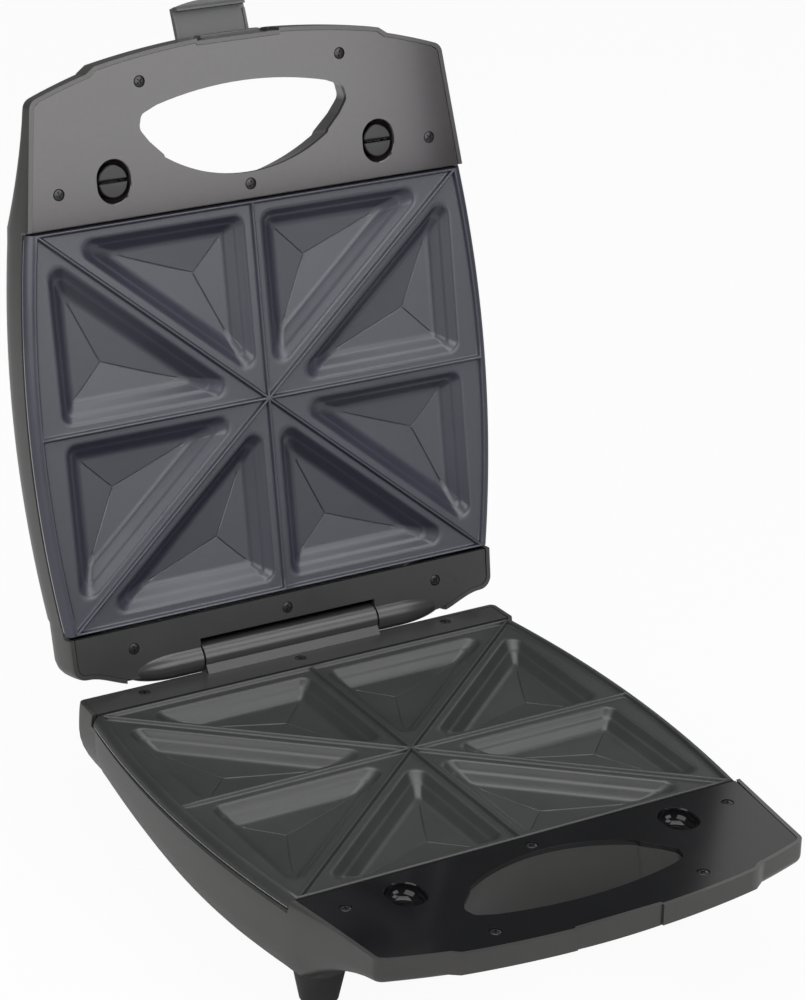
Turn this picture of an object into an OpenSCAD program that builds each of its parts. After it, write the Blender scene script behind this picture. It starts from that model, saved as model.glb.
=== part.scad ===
// Sandwich toaster with two triangular-pocket plates, a hinged lid and a front latch.
// Millimetres. Drawn with the lid open; the origin is on the ground under the middle of the part.

/* [Cooking plates] */
// Width of a plate across its corners
plate_w = 240; // [216:1:264]
// How far each side of a plate bows outwards at its middle
plate_bow = 7.9; // [4:0.1:10]
// Depth of a plate, front edge to rear edge
plate_d = 204.2; // [190:0.1:220]
// Wall of the plate casting
plate_t = 2.4; // [1.8:0.1:3]
// Height of the sealing beads above the land
bead_h = 2.2; // [1.6:0.1:3]
// Width of a sealing bead at its foot
bead_w = 3; // [2.4:0.1:4]
// Land between a dividing bead's middle line and the pocket beside it
pocket_land = 6.5; // [5.5:0.1:8]
// Land between the front or rear edge of the plate and a pocket
end_land = 7.2; // [6:0.1:10]
// Land between the middle of a plate's side and a pocket
side_land = 15.9; // [13:0.1:18]
// Radius of a pocket's corners
pocket_r = 4; // [3:0.1:6]
// Width of a pocket's sloping wall, in plan
wall_run = 9; // [8:0.1:11]
// Depth of a pocket's floor edge below the land
pocket_depth = 8.3; // [6:0.1:10]
// Extra depth at the meeting point of a pocket's three floor facets
floor_sink = 1.3; // [0.5:0.1:2]
// How far a plate's side rim rolls outwards
rim_roll = 4.6; // [3.5:0.1:5.5]
// How far a plate's rim reaches down
rim_drop = 6; // [5:0.1:8]

/* [Casings] */
// Depth of the base from the parting plane
case_depth = 45; // [42:0.5:52]
// Depth of the lid from the parting plane
lid_depth = 42; // [40:0.5:52]
// Wall of both casings
case_wall = 2.4; // [1.8:0.1:3]
// How far the base's side swells out below its rim
base_swell = 3.2; // [2:0.1:4.5]
// How far the lid's side swells out above its rim
lid_swell = 1.2; // [0.5:0.1:4]
// Depth at which the swell is fullest
swell_depth = 15; // [10:0.5:18]
// Radius round the foot of the casing's side
case_r = 20; // [14:0.5:24]
// Distance of the front edge of a fascia in front of the plate
nose_out = 84; // [78:0.1:94]
// Radius of the front edge in plan, towards the corners
nose_r = 343; // [300:1:400]
// Radius of the raised middle band of the front edge
band_r = 440; // [400:1:520]
// Half width of the raised middle band
band_x = 79.5; // [70:0.5:86]
// Height of the raised middle band
band_h = 11; // [9:0.5:12.5]
// Radius of the lower lip of the base's nose
base_lip_r = 5; // [3:0.5:6]
// Radius of the upper lip of the lid's nose
lid_lip_r = 14; // [8:0.5:15]
// Depth of the base's nose at its middle
base_nose = 13; // [12:0.5:18]
// Depth of the base's nose at its corners
base_nose_side = 13.5; // [12:0.5:17]
// Depth of the lid's nose at its middle
lid_nose = 26; // [24:0.5:29]
// Depth of the lid's nose at its corners
lid_nose_side = 12; // [10:0.5:16]
// Rim of the casing round the fascia
rim_w = 2.2; // [1.8:0.1:2.8]
// Distance of the base's rear rim behind the plate
base_rear_out = 19.7; // [19:0.1:22]
// Distance of the lid's rear rim behind the plate
lid_rear_out = 26.3; // [25:0.1:29]

/* [Trim] */
// Thickness of the fascias and rear covers
fascia_t = 2.6; // [2:0.1:3]
// How far a fascia lies below the parting plane
fascia_drop = 0.45; // [0.2:0.05:0.8]
// Half width of the grip opening
grip_x = 58.6; // [50:0.1:64]
// Front of the grip opening in front of the plate
grip_front_out = 61.8; // [58:0.1:65]
// Rear of the grip opening in front of the plate
grip_rear_out = 15.3; // [13:0.1:20]
// Width of the obround recesses
socket_w = 17.8; // [15:0.1:20]
// Length of the obround recesses
socket_l = 21.8; // [20:0.1:25]
// Depth of the obround recesses
socket_depth = 7; // [5:0.1:9]
// Distance of a recess from the middle line
socket_x = 75.6; // [72:0.1:80]

/* [Hinge and latch] */
// Distance of the hinge axis behind the plate
hinge_out = 26.8; // [26:0.1:28]
// Hinge axis above the parting plane
hinge_z = 5; // [4.5:0.1:5.5]
// Outer radius of the hinge barrel
barrel_r = 7.8; // [7:0.1:8.2]
// Half length of the fixed barrel
barrel_x = 51; // [44:0.5:56]
// Distance of a knuckle's tip from the middle line
knuckle_x = 94; // [86:0.5:100]
// Radius of the hinge pins
hinge_pin_r = 2.5; // [2:0.1:3]
// Angle of the open lid
open_angle = 101.1; // [95:0.1:105]
// Distance of the latch pin in front of the plate
latch_out = 74.3; // [73:0.1:76]
// Height of the latch pin above the parting plane
latch_z = 12.9; // [12:0.1:14]
// Radius of the latch pin
latch_pin_r = 1.5; // [1.2:0.1:2]
// Distance from the latch pin to the inner face of the latch
latch_reach = 12.65; // [12.4:0.05:13.4]
// Length of the latch from the level of its pin to its hook
latch_len = 25.9; // [24:0.1:28]
// Width of the latch
latch_w = 40.7; // [36:0.1:44]
// Wall of the latch
latch_t = 2.6; // [2:0.1:3]
// Angle of the latch's swing
latch_swing = 103.8; // [90:0.1:106]

/* [Feet] */
// Height of the parting plane above the ground
stand_h = 64; // [60:0.5:72]
// Radius of a foot where it meets the ground
foot_r = 9.5; // [8:0.1:11]
// Radius of a foot at its top
foot_top_r = 12.5; // [11:0.1:13]
// Distance of the feet inside the plate's corners, sideways
foot_in_x = 17.3; // [16:0.1:30]
// Distance of the front feet behind the plate's front edge
foot_in_front = 10.1; // [8:0.1:22]
// Distance of the rear feet in front of the plate's rear edge
foot_in_rear = 6.1; // [4:0.1:30]
// Distance of the rear feet inside the plate's corners, sideways
foot_in_back = 40; // [16:0.1:44]

/* [Heating] */
// Radius of the tubular heating elements
element_r = 3.25; // [2.5:0.05:4]
// Radius of an element's corner bends
element_bend = 20; // [14:0.5:24]
// Thickness of the heat shields
shield_t = 0.8; // [0.5:0.1:1.2]
// Radius of the disc thermostat
thermostat_r = 8; // [6:0.1:9]
// Height of the disc thermostat
thermostat_h = 8; // [6:0.1:10]

/* [Hidden] */
$fn = 48;

// Clearances
seam = 0.15;
slip = 0.05;
touch = 0.02;
air = 0.3;

// Places that follow from the sizes
half_w = plate_w / 2;
half_d = plate_d / 2;
plate_gap = 2.4;
nose_y = half_d + nose_out;
base_rear_y = half_d + base_rear_out;
lid_rear_y = half_d + lid_rear_out;
grip_front = half_d + grip_front_out;
grip_rear = half_d + grip_rear_out;
hinge_y = half_d + hinge_out;
latch_y = half_d + latch_out;
foot_x = half_w - foot_in_x;
foot_front = half_d - foot_in_front;
foot_rear = half_d - foot_in_rear;
foot_rear_x = half_w - foot_in_back;
fascia_rear = half_d + plate_gap;
cover_front = half_d + plate_gap;
rim_x = half_w + rim_roll - 0.2;
nose_corner_x = rim_x - 7.6;
nose_corner_y = sqrt(pow(nose_r + rim_w, 2) - pow(nose_corner_x, 2)) - nose_r + nose_y;
pocket_floor = bead_h + pocket_depth + floor_sink + plate_t;
element_z = -(pocket_floor + air + element_r);
clamp_z = element_z - element_r - touch;
clamp_t = 1.5;
shield_z = clamp_z - clamp_t - 5;
post_z = -(bead_h + plate_t + 6);
post_r = 5;
shoulder_r = 7.5;
foot_pad_z = -case_depth - 1;
hook_h = 2.6;
latch_tip = 2.8;
latch_low = -latch_len - hook_h - latch_tip + 0.4;
latch_far = turn([-latch_reach - latch_t, latch_low], -latch_swing) + [-latch_y, latch_z];
latch_back_y = hinge_y + turn(latch_far - [hinge_y, hinge_z], -open_angle).x;
frame_y = (latch_back_y - nose_y - rim_w) / 2;

function flip(pts) = [for (p = pts) [-p.x, p.y]];
function back(pts) = [for (i = [len(pts) - 1 : -1 : 0]) pts[i]];
function unit(v) = v / norm(v);
function mix(a, b, t) = a + (b - a) * t;
function clamp01(t) = min(1, max(0, t));
function turn(p, a) = [p.x * cos(a) - p.y * sin(a), p.x * sin(a) + p.y * cos(a)];

// One corner c of an outline, rounded by radius r between its neighbours a and b
function round_corner(a, c, b, r, steps) =
    r <= 0 ? [[c.x, c.y]] :
    let (
        u = unit([a.x - c.x, a.y - c.y]),
        v = unit([b.x - c.x, b.y - c.y]),
        half = acos(u * v) / 2,
        middle = [c.x, c.y] + unit(u + v) * r / sin(half),
        start = [c.x, c.y] + u * r / tan(half) - middle,
        sweep = (180 - 2 * half) * sign(u.y * v.x - u.x * v.y) * -1
    )
    [for (i = [0 : steps]) middle + turn(start, -sweep * i / steps)];

// Outline whose corners are [x, y, radius]
function rounded(pts, steps = 4) = [
    for (i = [0 : len(pts) - 1])
        each round_corner(pts[(i + len(pts) - 1) % len(pts)], pts[i],
            pts[(i + 1) % len(pts)], pts[i][2], steps)
];

// Solid skin through a stack of rings that have the same number of points
module loft(rings) {
    n = len(rings[0]);
    m = len(rings);
    polyhedron(
        points = [for (ring = rings) each ring],
        faces = concat(
            [[for (i = [0 : n - 1]) i]],
            [[for (i = [n - 1 : -1 : 0]) (m - 1) * n + i]],
            [for (j = [0 : m - 2], i = [0 : n - 1])
                each [
                    [j * n + i, (j + 1) * n + i, (j + 1) * n + (i + 1) % n],
                    [j * n + i, (j + 1) * n + (i + 1) % n, j * n + (i + 1) % n]
                ]]
        )
    );
}

module prism(pts, z0, z1) {
    translate([0, 0, min(z0, z1)]) linear_extrude(abs(z1 - z0)) polygon(pts);
}

module post(x, y, r, z0, z1) {
    translate([x, y, min(z0, z1)]) cylinder(r = r, h = abs(z1 - z0));
}

module rod(x0, x1, y, z, r) {
    translate([min(x0, x1), y, z]) rotate([0, 90, 0]) cylinder(r = r, h = abs(x1 - x0));
}

module block(x0, x1, y0, y1, z0, z1) {
    translate([x0, y0, z0]) cube([x1 - x0, y1 - y0, z1 - z0]);
}

// Frames: the base stands on the ground, the lid turns on the hinge, the latch turns on its pin
module in_base() {
    translate([0, -frame_y, stand_h]) children();
}

module in_lid() {
    in_base() translate([0, hinge_y, hinge_z]) rotate([-open_angle, 0, 0])
        translate([0, -hinge_y, -hinge_z]) children();
}

module in_lid_half() {
    in_lid() mirror([0, 0, 1]) children();
}

module in_latch() {
    in_lid() translate([0, -latch_y, latch_z]) rotate([-latch_swing, 0, 0]) children();
}

// Half width of the plate's face at y
function plate_x(y) = half_w + plate_bow * (1 - pow(y / half_d, 2));

// Outline of the plate's face, one quarter at a time
side_steps = 10;
function plate_side() = [for (i = [-side_steps : side_steps])
    let (y = half_d * i / side_steps) [plate_x(y), y]];
function plate_outline() = concat(plate_side(), back(flip(plate_side())));

// Plate rim ring: the sides roll out by out_x, the ends step out by out_y
function plate_ring(out_x, out_y, z) = [for (p = plate_outline())
    [p.x + out_x * p.x / plate_x(p.y), p.y + out_y * p.y / half_d, z]];

// Corners of the triangle in one half of a quarter plate, off the bead lines by v, d and o
diag_len = norm([half_w, half_d]);
function end_corners(v, d, o) = [
    [v, half_d - o],
    [(half_w * (half_d - o) - d * diag_len) / half_d, half_d - o],
    [v, (d * diag_len + half_d * v) / half_w]
];
side_lean = 0.04;
function side_corner(d, o) =
    let (x0 = half_w + plate_bow - o, k = side_lean,
        y = (half_d * x0 - d * diag_len) / (half_w + k * half_d))
    [x0 - k * y, y];
function side_corners(v, d, o) = [
    [half_w + plate_bow - o - side_lean * v, v],
    side_corner(d, o),
    [(d * diag_len + half_w * v) / half_d, v]
];
function pocket_corners(kind, inset) = kind == 0
    ? end_corners(pocket_land + inset, pocket_land + inset, end_land + inset)
    : side_corners(pocket_land + inset, pocket_land + inset, side_land + inset);

// Meeting point of a triangle's inner bisectors
function incentre(t) =
    let (a = norm(t[1] - t[2]), b = norm(t[2] - t[0]), c = norm(t[0] - t[1]))
    (a * t[0] + b * t[1] + c * t[2]) / (a + b + c);

module pocket_slice(kind, inset, r, z) {
    for (p = pocket_corners(kind, inset + r))
        translate([p.x, p.y, z]) cylinder(r = r, h = 0.01, $fn = 16);
}

module pocket_apex(kind, z) {
    p = incentre(pocket_corners(kind, 0));
    translate([p.x, p.y, z]) cylinder(r = 0.3, h = 0.01, $fn = 8);
}

// The eight copies of a half-quarter shape
module eightfold() {
    for (sx = [0, 1], sy = [0, 1], kind = [0, 1])
        mirror([sx, 0, 0]) mirror([0, sy, 0]) pocket_kind(kind) children();
}

module pocket_kind(kind) {
    $kind = kind;
    children();
}

ledge_in = 0.4 * wall_run;
ledge_z = 0.46 * pocket_depth;
ledge_w = 0.8;
lip_h = 0.3;

// Upper flight of a pocket's wall, down to its ledge
module pocket_upper() {
    hull() {
        pocket_slice($kind, -1.2, pocket_r + 0.8, -bead_h + 0.8);
        pocket_slice($kind, 0.5, pocket_r, -bead_h - lip_h);
        pocket_slice($kind, ledge_in, pocket_r * 0.7, -bead_h - ledge_z);
    }
}

// Lower flight and the three floor facets
module pocket_lower() {
    hull() {
        pocket_slice($kind, ledge_in + ledge_w, pocket_r * 0.6, -bead_h - ledge_z + 0.02);
        pocket_slice($kind, wall_run, pocket_r * 0.4, -bead_h - pocket_depth);
        pocket_apex($kind, -bead_h - pocket_depth - floor_sink);
    }
}

module pocket_bulge() {
    hull() {
        pocket_slice($kind, -plate_t * 0.6, pocket_r + 1, -bead_h - plate_t);
        pocket_slice($kind, wall_run - plate_t * 0.5, pocket_r * 0.5,
            -bead_h - pocket_depth - plate_t * 0.9);
        pocket_apex($kind, -bead_h - pocket_depth - floor_sink - plate_t);
    }
}

// Land between the beads of one half quarter, with leaning bead sides
bead_top = 0.5;
function land_side_pts(v, d, o) =
    let (c = side_corners(v, d, o), top = side_corners(v, d, o)[1].y + 1.2)
    [for (i = [0 : 6]) let (y = mix(v, top, i / 6)) [plate_x(y) - o, y]];
module land_slice(grow, z) {
    half_bead = bead_w / 2 - grow;
    full_bead = bead_w - grow;
    translate([0, 0, z]) linear_extrude(0.01)
        if ($kind == 0) polygon(end_corners(half_bead, half_bead, full_bead));
        else polygon(concat(land_side_pts(half_bead, half_bead, full_bead),
            [side_corners(half_bead, half_bead, full_bead)[2]]));
}

module land_cut() {
    hull() {
        land_slice(0, -bead_h);
        land_slice(bead_top, -touch);
        land_slice(bead_top + 0.4, 0.3);
    }
}

clamp_gap = 11;
element_x = incentre(pocket_corners(1, 0)).x;
element_y = incentre(pocket_corners(0, 0)).y;
post_x = 60;
post_y = 36;
post_places = [[post_x, 0], [-post_x, 0], [0, post_y], [0, -post_y]];
clamp_places = [[element_x, 0, 90], [-element_x, 0, 90], [0, -element_y, 0]];
strap_reach = clamp_gap;
stat_boss = 14;

// Cooking plate: a casting with eight pockets, a rolled rim and bosses below
module plate() {
    difference() {
        union() {
            difference() {
                loft([
                    plate_ring(rim_roll, 0.6, -rim_drop),
                    plate_ring(rim_roll * 0.83, 0.6, -rim_drop * 0.6),
                    plate_ring(rim_roll * 0.56, 0.6, -rim_drop * 0.3),
                    plate_ring(rim_roll * 0.26, 0.4, -rim_drop * 0.09),
                    plate_ring(0, 0, -seam)
                ]);
                loft([
                    plate_ring(rim_roll - 1.5, -1.4, -rim_drop - 1),
                    plate_ring(rim_roll * 0.4 - 1.5, -1.4, -bead_h - plate_t),
                ]);
            }
            eightfold() pocket_bulge();
            for (p = post_places)
                post(p.x, p.y, 4, -bead_h - plate_t + 0.5, post_z);
            for (c = clamp_places)
                translate([c.x, c.y, 0]) rotate(c[2]) for (s = [-1, 1])
                    post(0, s * clamp_gap, 3.2, -bead_h - plate_t + 0.5, clamp_z);
            for (s = [-1, 1])
                post(0, s * stat_boss, 3, -bead_h - plate_t + 0.5,
                    -bead_h - plate_t - thermostat_h);
        }
        eightfold() {
            land_cut();
            pocket_upper();
            pocket_lower();
        }
        for (p = post_places)
            post(p.x, p.y, 2 + slip, -bead_h - 1.5, post_z - 1);
        for (c = clamp_places)
            translate([c.x, c.y, 0]) rotate(c[2]) for (s = [-1, 1])
                post(0, s * clamp_gap, 1.5 + slip, clamp_z + 9, clamp_z - 1);
        for (s = [-1, 1])
            post(0, s * stat_boss, 1.2 + slip, -bead_h - plate_t - thermostat_h + 6,
                -bead_h - plate_t - thermostat_h - 1);
    }
}

// Plan outline of a casing at the parting plane, right half, front middle to rear middle
nose_steps = 7;
flank_steps = 4;
half_side = 4;
nose_fillet = 6;
// Rear edge: the base ends square; the lid's edge dips at its corners and swells out to the knuckles
wave_steps = 6;
lid_dip = 2.4;
lid_swell_out = 5.5;
function is_lid(rear) = rear == lid_rear_y;
function rear_dip(rear) = is_lid(rear) ? lid_dip : 0;
function wave(rear, f) = is_lid(rear) ? mix(-lid_dip, lid_swell_out, f * f * (3 - 2 * f)) : 0;
function wave_pts(rear, start, y) = [for (i = [1 : wave_steps])
    let (f = i / wave_steps)
    [mix(start.x, knuckle_x - 6.4, f), y + wave(rear, f)]];
function corner_r(rear, t) = t > 0 ? 5 : is_lid(rear) ? 7 : 3;
function nose_front() = [for (i = [0 : nose_steps])
    let (x = (nose_corner_x - nose_fillet) * i / nose_steps)
    [x, nose_r - nose_y - sqrt(pow(nose_r + rim_w, 2) - x * x)]];
function nose_flank() =
    let (
        a = [nose_corner_x, -nose_corner_y],
        b = [rim_x, -fascia_rear],
        turn_pts = round_corner(nose_front()[nose_steps], a, b, nose_fillet, 3)
    )
    concat(turn_pts, [for (i = [1 : flank_steps])
        mix(turn_pts[3], b, i / flank_steps)]);
function side_end(rear, t) =
    min(half_d - 5, rear - rear_dip(rear) - t - corner_r(rear, t) - 3);
function case_side(rear, t) = [for (i = [0 : 2 * half_side])
    let (y = mix(-half_d + 5 + 0.2 * t, side_end(rear, t), i / 2 / half_side))
    [plate_x(y) + rim_roll - 0.2 - t, y]];
function case_rear(rear, t) =
    let (
        a = [rim_x - t, side_end(rear, t) + 2],
        c = [rim_x - 1 - t, rear - t - rear_dip(rear)],
        turn_pts = round_corner(a, c, [0, c.y], corner_r(rear, t), 4)
    )
    concat([a], turn_pts, wave_pts(rear, turn_pts[4], rear - t), [[0, rear - t + wave(rear, 1)]]);

// Whole outline, set in by t along the sides and rear
function case_outline(rear, t) =
    let (
        h = concat(nose_front(), nose_flank(), case_side(rear, t), case_rear(rear, t)),
        n = len(h)
    )
    concat(h, back(flip([for (i = [1 : n - 2]) h[i]])));
foot_in = 4;
foot_t = case_r + foot_in;
flank_start = nose_steps + 1;
nose_n = flank_start + 4 + flank_steps;

// A half's casing: depth, nose depth at its middle and corners, swell, lip radius, outline, foot
base_case = [case_depth, base_nose, base_nose_side, base_swell, base_lip_r, case_outline(base_rear_y, 0),
    case_outline(base_rear_y, foot_t)];
lid_case = [lid_depth, lid_nose, lid_nose_side, lid_swell, lid_lip_r, case_outline(lid_rear_y, 0),
    case_outline(lid_rear_y, foot_t)];
function deep_of(c) = c[0];
function mid_of(c) = c[1];
function corner_of(c) = c[2];
function swell_of(c) = c[3];
function lip_of(c) = c[4];
function outline_of(c) = c[5];
function foot_of(c) = c[6];

// Index of a ring point counted along the nose from its middle, the same on both sides
function nose_index(i, n) = min(i, n - i);
function normal_at(pts, i) =
    let (
        n = len(pts),
        a = pts[(i + n - 1) % n],
        b = pts[(i + 1) % n],
        t = unit(b - a)
    )
    [t.y, -t.x];

// Depth of the casing's lip at a ring point: shallow at the nose, full at the body
function lip_depth(c, k, p) =
    k >= nose_n ? deep_of(c) :
    k <= nose_steps ? mix(mid_of(c), corner_of(c), pow(abs(p.x) / nose_corner_x, 2)) :
    mix(corner_of(c), deep_of(c),
        pow(clamp01((nose_corner_y + p.y) / (nose_corner_y - fascia_rear)), 1.7));
function lip_r(c, k, p, body) =
    k >= nose_n ? case_r :
    k <= nose_steps ? mix(lip_of(c), nose_fillet - 1, pow(abs(p.x) / nose_corner_x, 3)) :
    mix(nose_fillet - 1, case_r, body);

// Edge of the flat underside at a ring point; the nose's points lie along its front edge
nose_foot = 0.79;
function foot_point(c, i, inset) =
    let (
        pts = outline_of(c),
        k = nose_index(i, len(pts)),
        side = i <= len(pts) / 2 ? 1 : -1,
        far_x = rim_x + swell_of(c) - foot_t,
        near_x = nose_foot * (nose_corner_x - nose_fillet),
        x = k <= nose_steps ? nose_foot * abs(pts[i].x)
            : mix(near_x, far_x, (k - nose_steps) / (nose_n - 1 - nose_steps))
    )
    k >= nose_n ? foot_of(c)[i] + normal_at(pts, i) * swell_of(c)
    : [side * x * (1 - inset / 200), -fascia_rear - 1.5 + 4.5 * pow(x / far_x, 6) + inset];

// Ring j of a casing whose surface is set in by inset
wall_stops = [0, 0.06, 0.16, 0.32, 0.55, 1];
round_stops = [22, 45, 68, 90];
ring_count = len(wall_stops) + len(round_stops) + 1;
function case_point(c, i, j, inset) =
    let (
        pts = outline_of(c),
        k = nose_index(i, len(pts)),
        p = pts[i],
        deep = deep_of(c),
        dn = lip_depth(c, k, p),
        body = k >= nose_n ? 1 : clamp01((dn - corner_of(c)) / (deep - corner_of(c)))
            * (k <= nose_steps ? 0 : 1),
        r = lip_r(c, k, p, body),
        straight = dn - r,
        w = len(wall_stops),
        a = j < w ? 0 : round_stops[min(j - w, len(round_stops) - 1)],
        d = j < w ? max(seam, straight * wall_stops[j]) : straight + (r - inset) * sin(a),
        swell = swell_of(c) * body * sqrt(1 - pow(1 - clamp01(d / swell_depth), 2)),
        inward = k >= nose_n ? (foot_of(c)[i] - p) / foot_t : -normal_at(pts, i),
        q = p + normal_at(pts, i) * (swell - inset) + inward * (r - inset) * (1 - cos(a)),
        foot = foot_point(c, i, inset)
    )
    j == ring_count - 1 ? [foot.x, foot.y, -deep + inset]
    : [q.x, q.y, j == 0 && inset > 0 ? 1 : -d];

module case_skin(c, inset, stops) {
    loft([for (j = stops) [for (i = [0 : len(outline_of(c)) - 1]) case_point(c, i, j, inset)]]);
}

// Front edge of the fascia at x: the raised band in the middle, the corner arc outside it
function band_y(x, grow) = band_r - nose_y - sqrt(pow(band_r + grow, 2) - x * x);
function corner_y(x, grow) = nose_r - nose_y - sqrt(pow(nose_r + grow, 2) - x * x);
latch_gap_x = latch_w / 2 + 2.9;
function fascia_half(grow) =
    let (
        step_in = band_x + 4,
        tip_x = nose_corner_x - rim_w + grow,
        rear_x = rim_x - rim_w + grow
    )
    concat(
        [[latch_gap_x - grow, band_y(latch_gap_x, grow) + 1.2, 0]],
        [for (i = [0 : 6]) let (x = mix(latch_gap_x, band_x, i / 6))
            [x + (i == 0 ? 0.8 : 0), band_y(x, grow), 0]],
        [for (i = [0 : 4]) let (x = mix(step_in + grow, tip_x - 3.5, i / 4))
            [x, corner_y(x, grow), 0]],
        [[tip_x, corner_y(tip_x, grow) + 1.2, 2.6]],
        [[rear_x, -fascia_rear, 0.6]]
    );
function fascia_pts(grow = 0) =
    let (h = fascia_half(grow))
    rounded(concat(h, back([for (p = h) [-p.x, p.y, p[2]]])), 3);

// Grip opening: a slim crescent with rounded ends and a shallow step in its rear edge
grip_arc = 197;
grip_back_arc = 84;
grip_step_x = 46.4;
grip_step = 1.6;
function grip_half(grow) =
    let (
        front = [for (i = [0 : 5]) let (x = (grip_x - 10) * i / 5)
            [x, grip_arc - grip_front - sqrt(pow(grip_arc + grow, 2) - x * x), 0]],
        rear = [for (i = [4 : -1 : 0]) let (x = grip_step_x * i / 4)
            [x, sqrt(pow(grip_back_arc + grow, 2) - x * x) - grip_back_arc - grip_rear, 0]],
        tip_y = -grip_rear - 31.6,
        step_y = rear[0].y - grip_step
    )
    concat(front, [
        [grip_x - 1.2 + grow, tip_y - 5.2 - grow * 0.4, 4],
        [grip_x + 0.6 + grow, tip_y + 1.8, 5],
        [grip_x - 4.4 + grow * 0.8, tip_y + 8.8 + grow * 0.5, 4],
        [grip_step_x + 0.6 + grow * 0.4, step_y, 0.5]
    ], rear);
function grip_pts(grow = 0) =
    let (h = grip_half(grow), n = len(h))
    rounded(concat(h, back([for (i = [1 : n - 2]) [-h[i].x, h[i].y, h[i][2]]])), 3);

socket_y = -(grip_rear + 5.7);
function obround(w, l, steps = 8) = concat(
    [for (i = [0 : steps]) let (a = 180 * i / steps) [cos(a) * w / 2, (l - w) / 2 + sin(a) * w / 2]],
    [for (i = [0 : steps]) let (a = 180 + 180 * i / steps)
        [cos(a) * w / 2, -(l - w) / 2 + sin(a) * w / 2]]
);

// Screw places, from the edges of the trim that they hold
mid_screw_in = 7;
side_screw_in = 16.3;
side_screw_x = rim_x - 18.5;
nose_screw_in = 15.5;
nose_screw_x = 56.8;
cover_mid_in = 8.5;
lid_mid_in = 7.5;
cover_side_in = 11;
cover_side_x = 89.5;
fascia_screws = [
    [0, -fascia_rear - mid_screw_in],
    [side_screw_x, -fascia_rear - side_screw_in],
    [-side_screw_x, -fascia_rear - side_screw_in],
    [nose_screw_x, -nose_y + nose_screw_in],
    [-nose_screw_x, -nose_y + nose_screw_in]
];
function cover_places(mid_in) = [
    [0, cover_front + mid_in],
    [cover_side_x, cover_front + cover_side_in],
    [-cover_side_x, cover_front + cover_side_in]
];
base_cover_screws = cover_places(cover_mid_in);
lid_cover_screws = cover_places(lid_mid_in);
boss_r = 3.6;
pilot_r = 1.4;
head_r = 2.9;
head_h = 1.4;
fascia_back = fascia_drop + fascia_t;

// Front fascia with its grip opening, its two obround cups and five screw seats
module fascia() {
    difference() {
        union() {
            prism(fascia_pts(), -fascia_drop, -fascia_back);
            for (s = [-1, 1]) translate([s * socket_x, socket_y, 0])
                prism(obround(socket_w + 3.2, socket_l + 3.2), -fascia_drop - 0.5,
                    -fascia_drop - socket_depth - 1.6);
        }
        prism(grip_pts(), 1, -fascia_back - 1);
        for (s = [-1, 1]) translate([s * socket_x, socket_y, 0])
            prism(obround(socket_w, socket_l), 1, -fascia_drop - socket_depth);
        for (p = fascia_screws) {
            post(p.x, p.y, pilot_r + seam, 1, -fascia_back - 1);
            post(p.x, p.y, head_r + seam, 1, -fascia_drop - head_h);
        }
    }
}

function cover_pts(rear, grow = 0) =
    let (
        a = [rim_x - rim_w - 0.6 + grow, cover_front - grow],
        y = rear - rim_w + grow,
        c = [rim_x - rim_w - 1.2 + grow, y - rear_dip(rear)],
        b = [0, c.y],
        turn_pts = round_corner(a, c, b, corner_r(rear, 0) - rim_w + grow, 4),
        h = concat(round_corner([0, a.y], a, c, 0.6, 2), turn_pts, wave_pts(rear, turn_pts[4], y))
    )
    concat(h, back(flip(h)));

// Relief round the hinge, cut from whatever stays behind while the lid turns
relief_r = barrel_r + 0.8;
module hinge_relief(x0, x1, side = 1) {
    rod(x0, x1, hinge_y, side * hinge_z, relief_r);
}

module screw(head, head_len, shank, length) {
    difference() {
        union() {
            translate([0, 0, -head_len]) cylinder(r = head, h = head_len);
            translate([0, 0, -head_len - length]) cylinder(r = shank, h = length + 0.1);
        }
        for (a = [0, 90]) rotate(a)
            translate([-head * 0.62, -head * 0.13, -head_len * 0.55])
                cube([head * 1.24, head * 0.26, head_len]);
    }
}

band_back = 22;
function band_pts(grow) = concat(
    [for (i = [-8 : 8]) let (x = (band_x + 2.6) * i / 8) [x, band_y(x, grow)]],
    [[band_x + 3.4, -nose_y + band_back], [-band_x - 3.4, -nose_y + band_back]]
);

// Cross walls between the plate and the trim in front of it and behind it
bulkhead_z = -14;
bulkhead_y = half_d + 1.6;
module bulkheads() {
    for (s = [-1, 1])
        block(-rim_x - 6, rim_x + 6, s * bulkhead_y - 0.6, s * bulkhead_y + 0.6,
            bulkhead_z, -fascia_drop);
}

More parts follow.
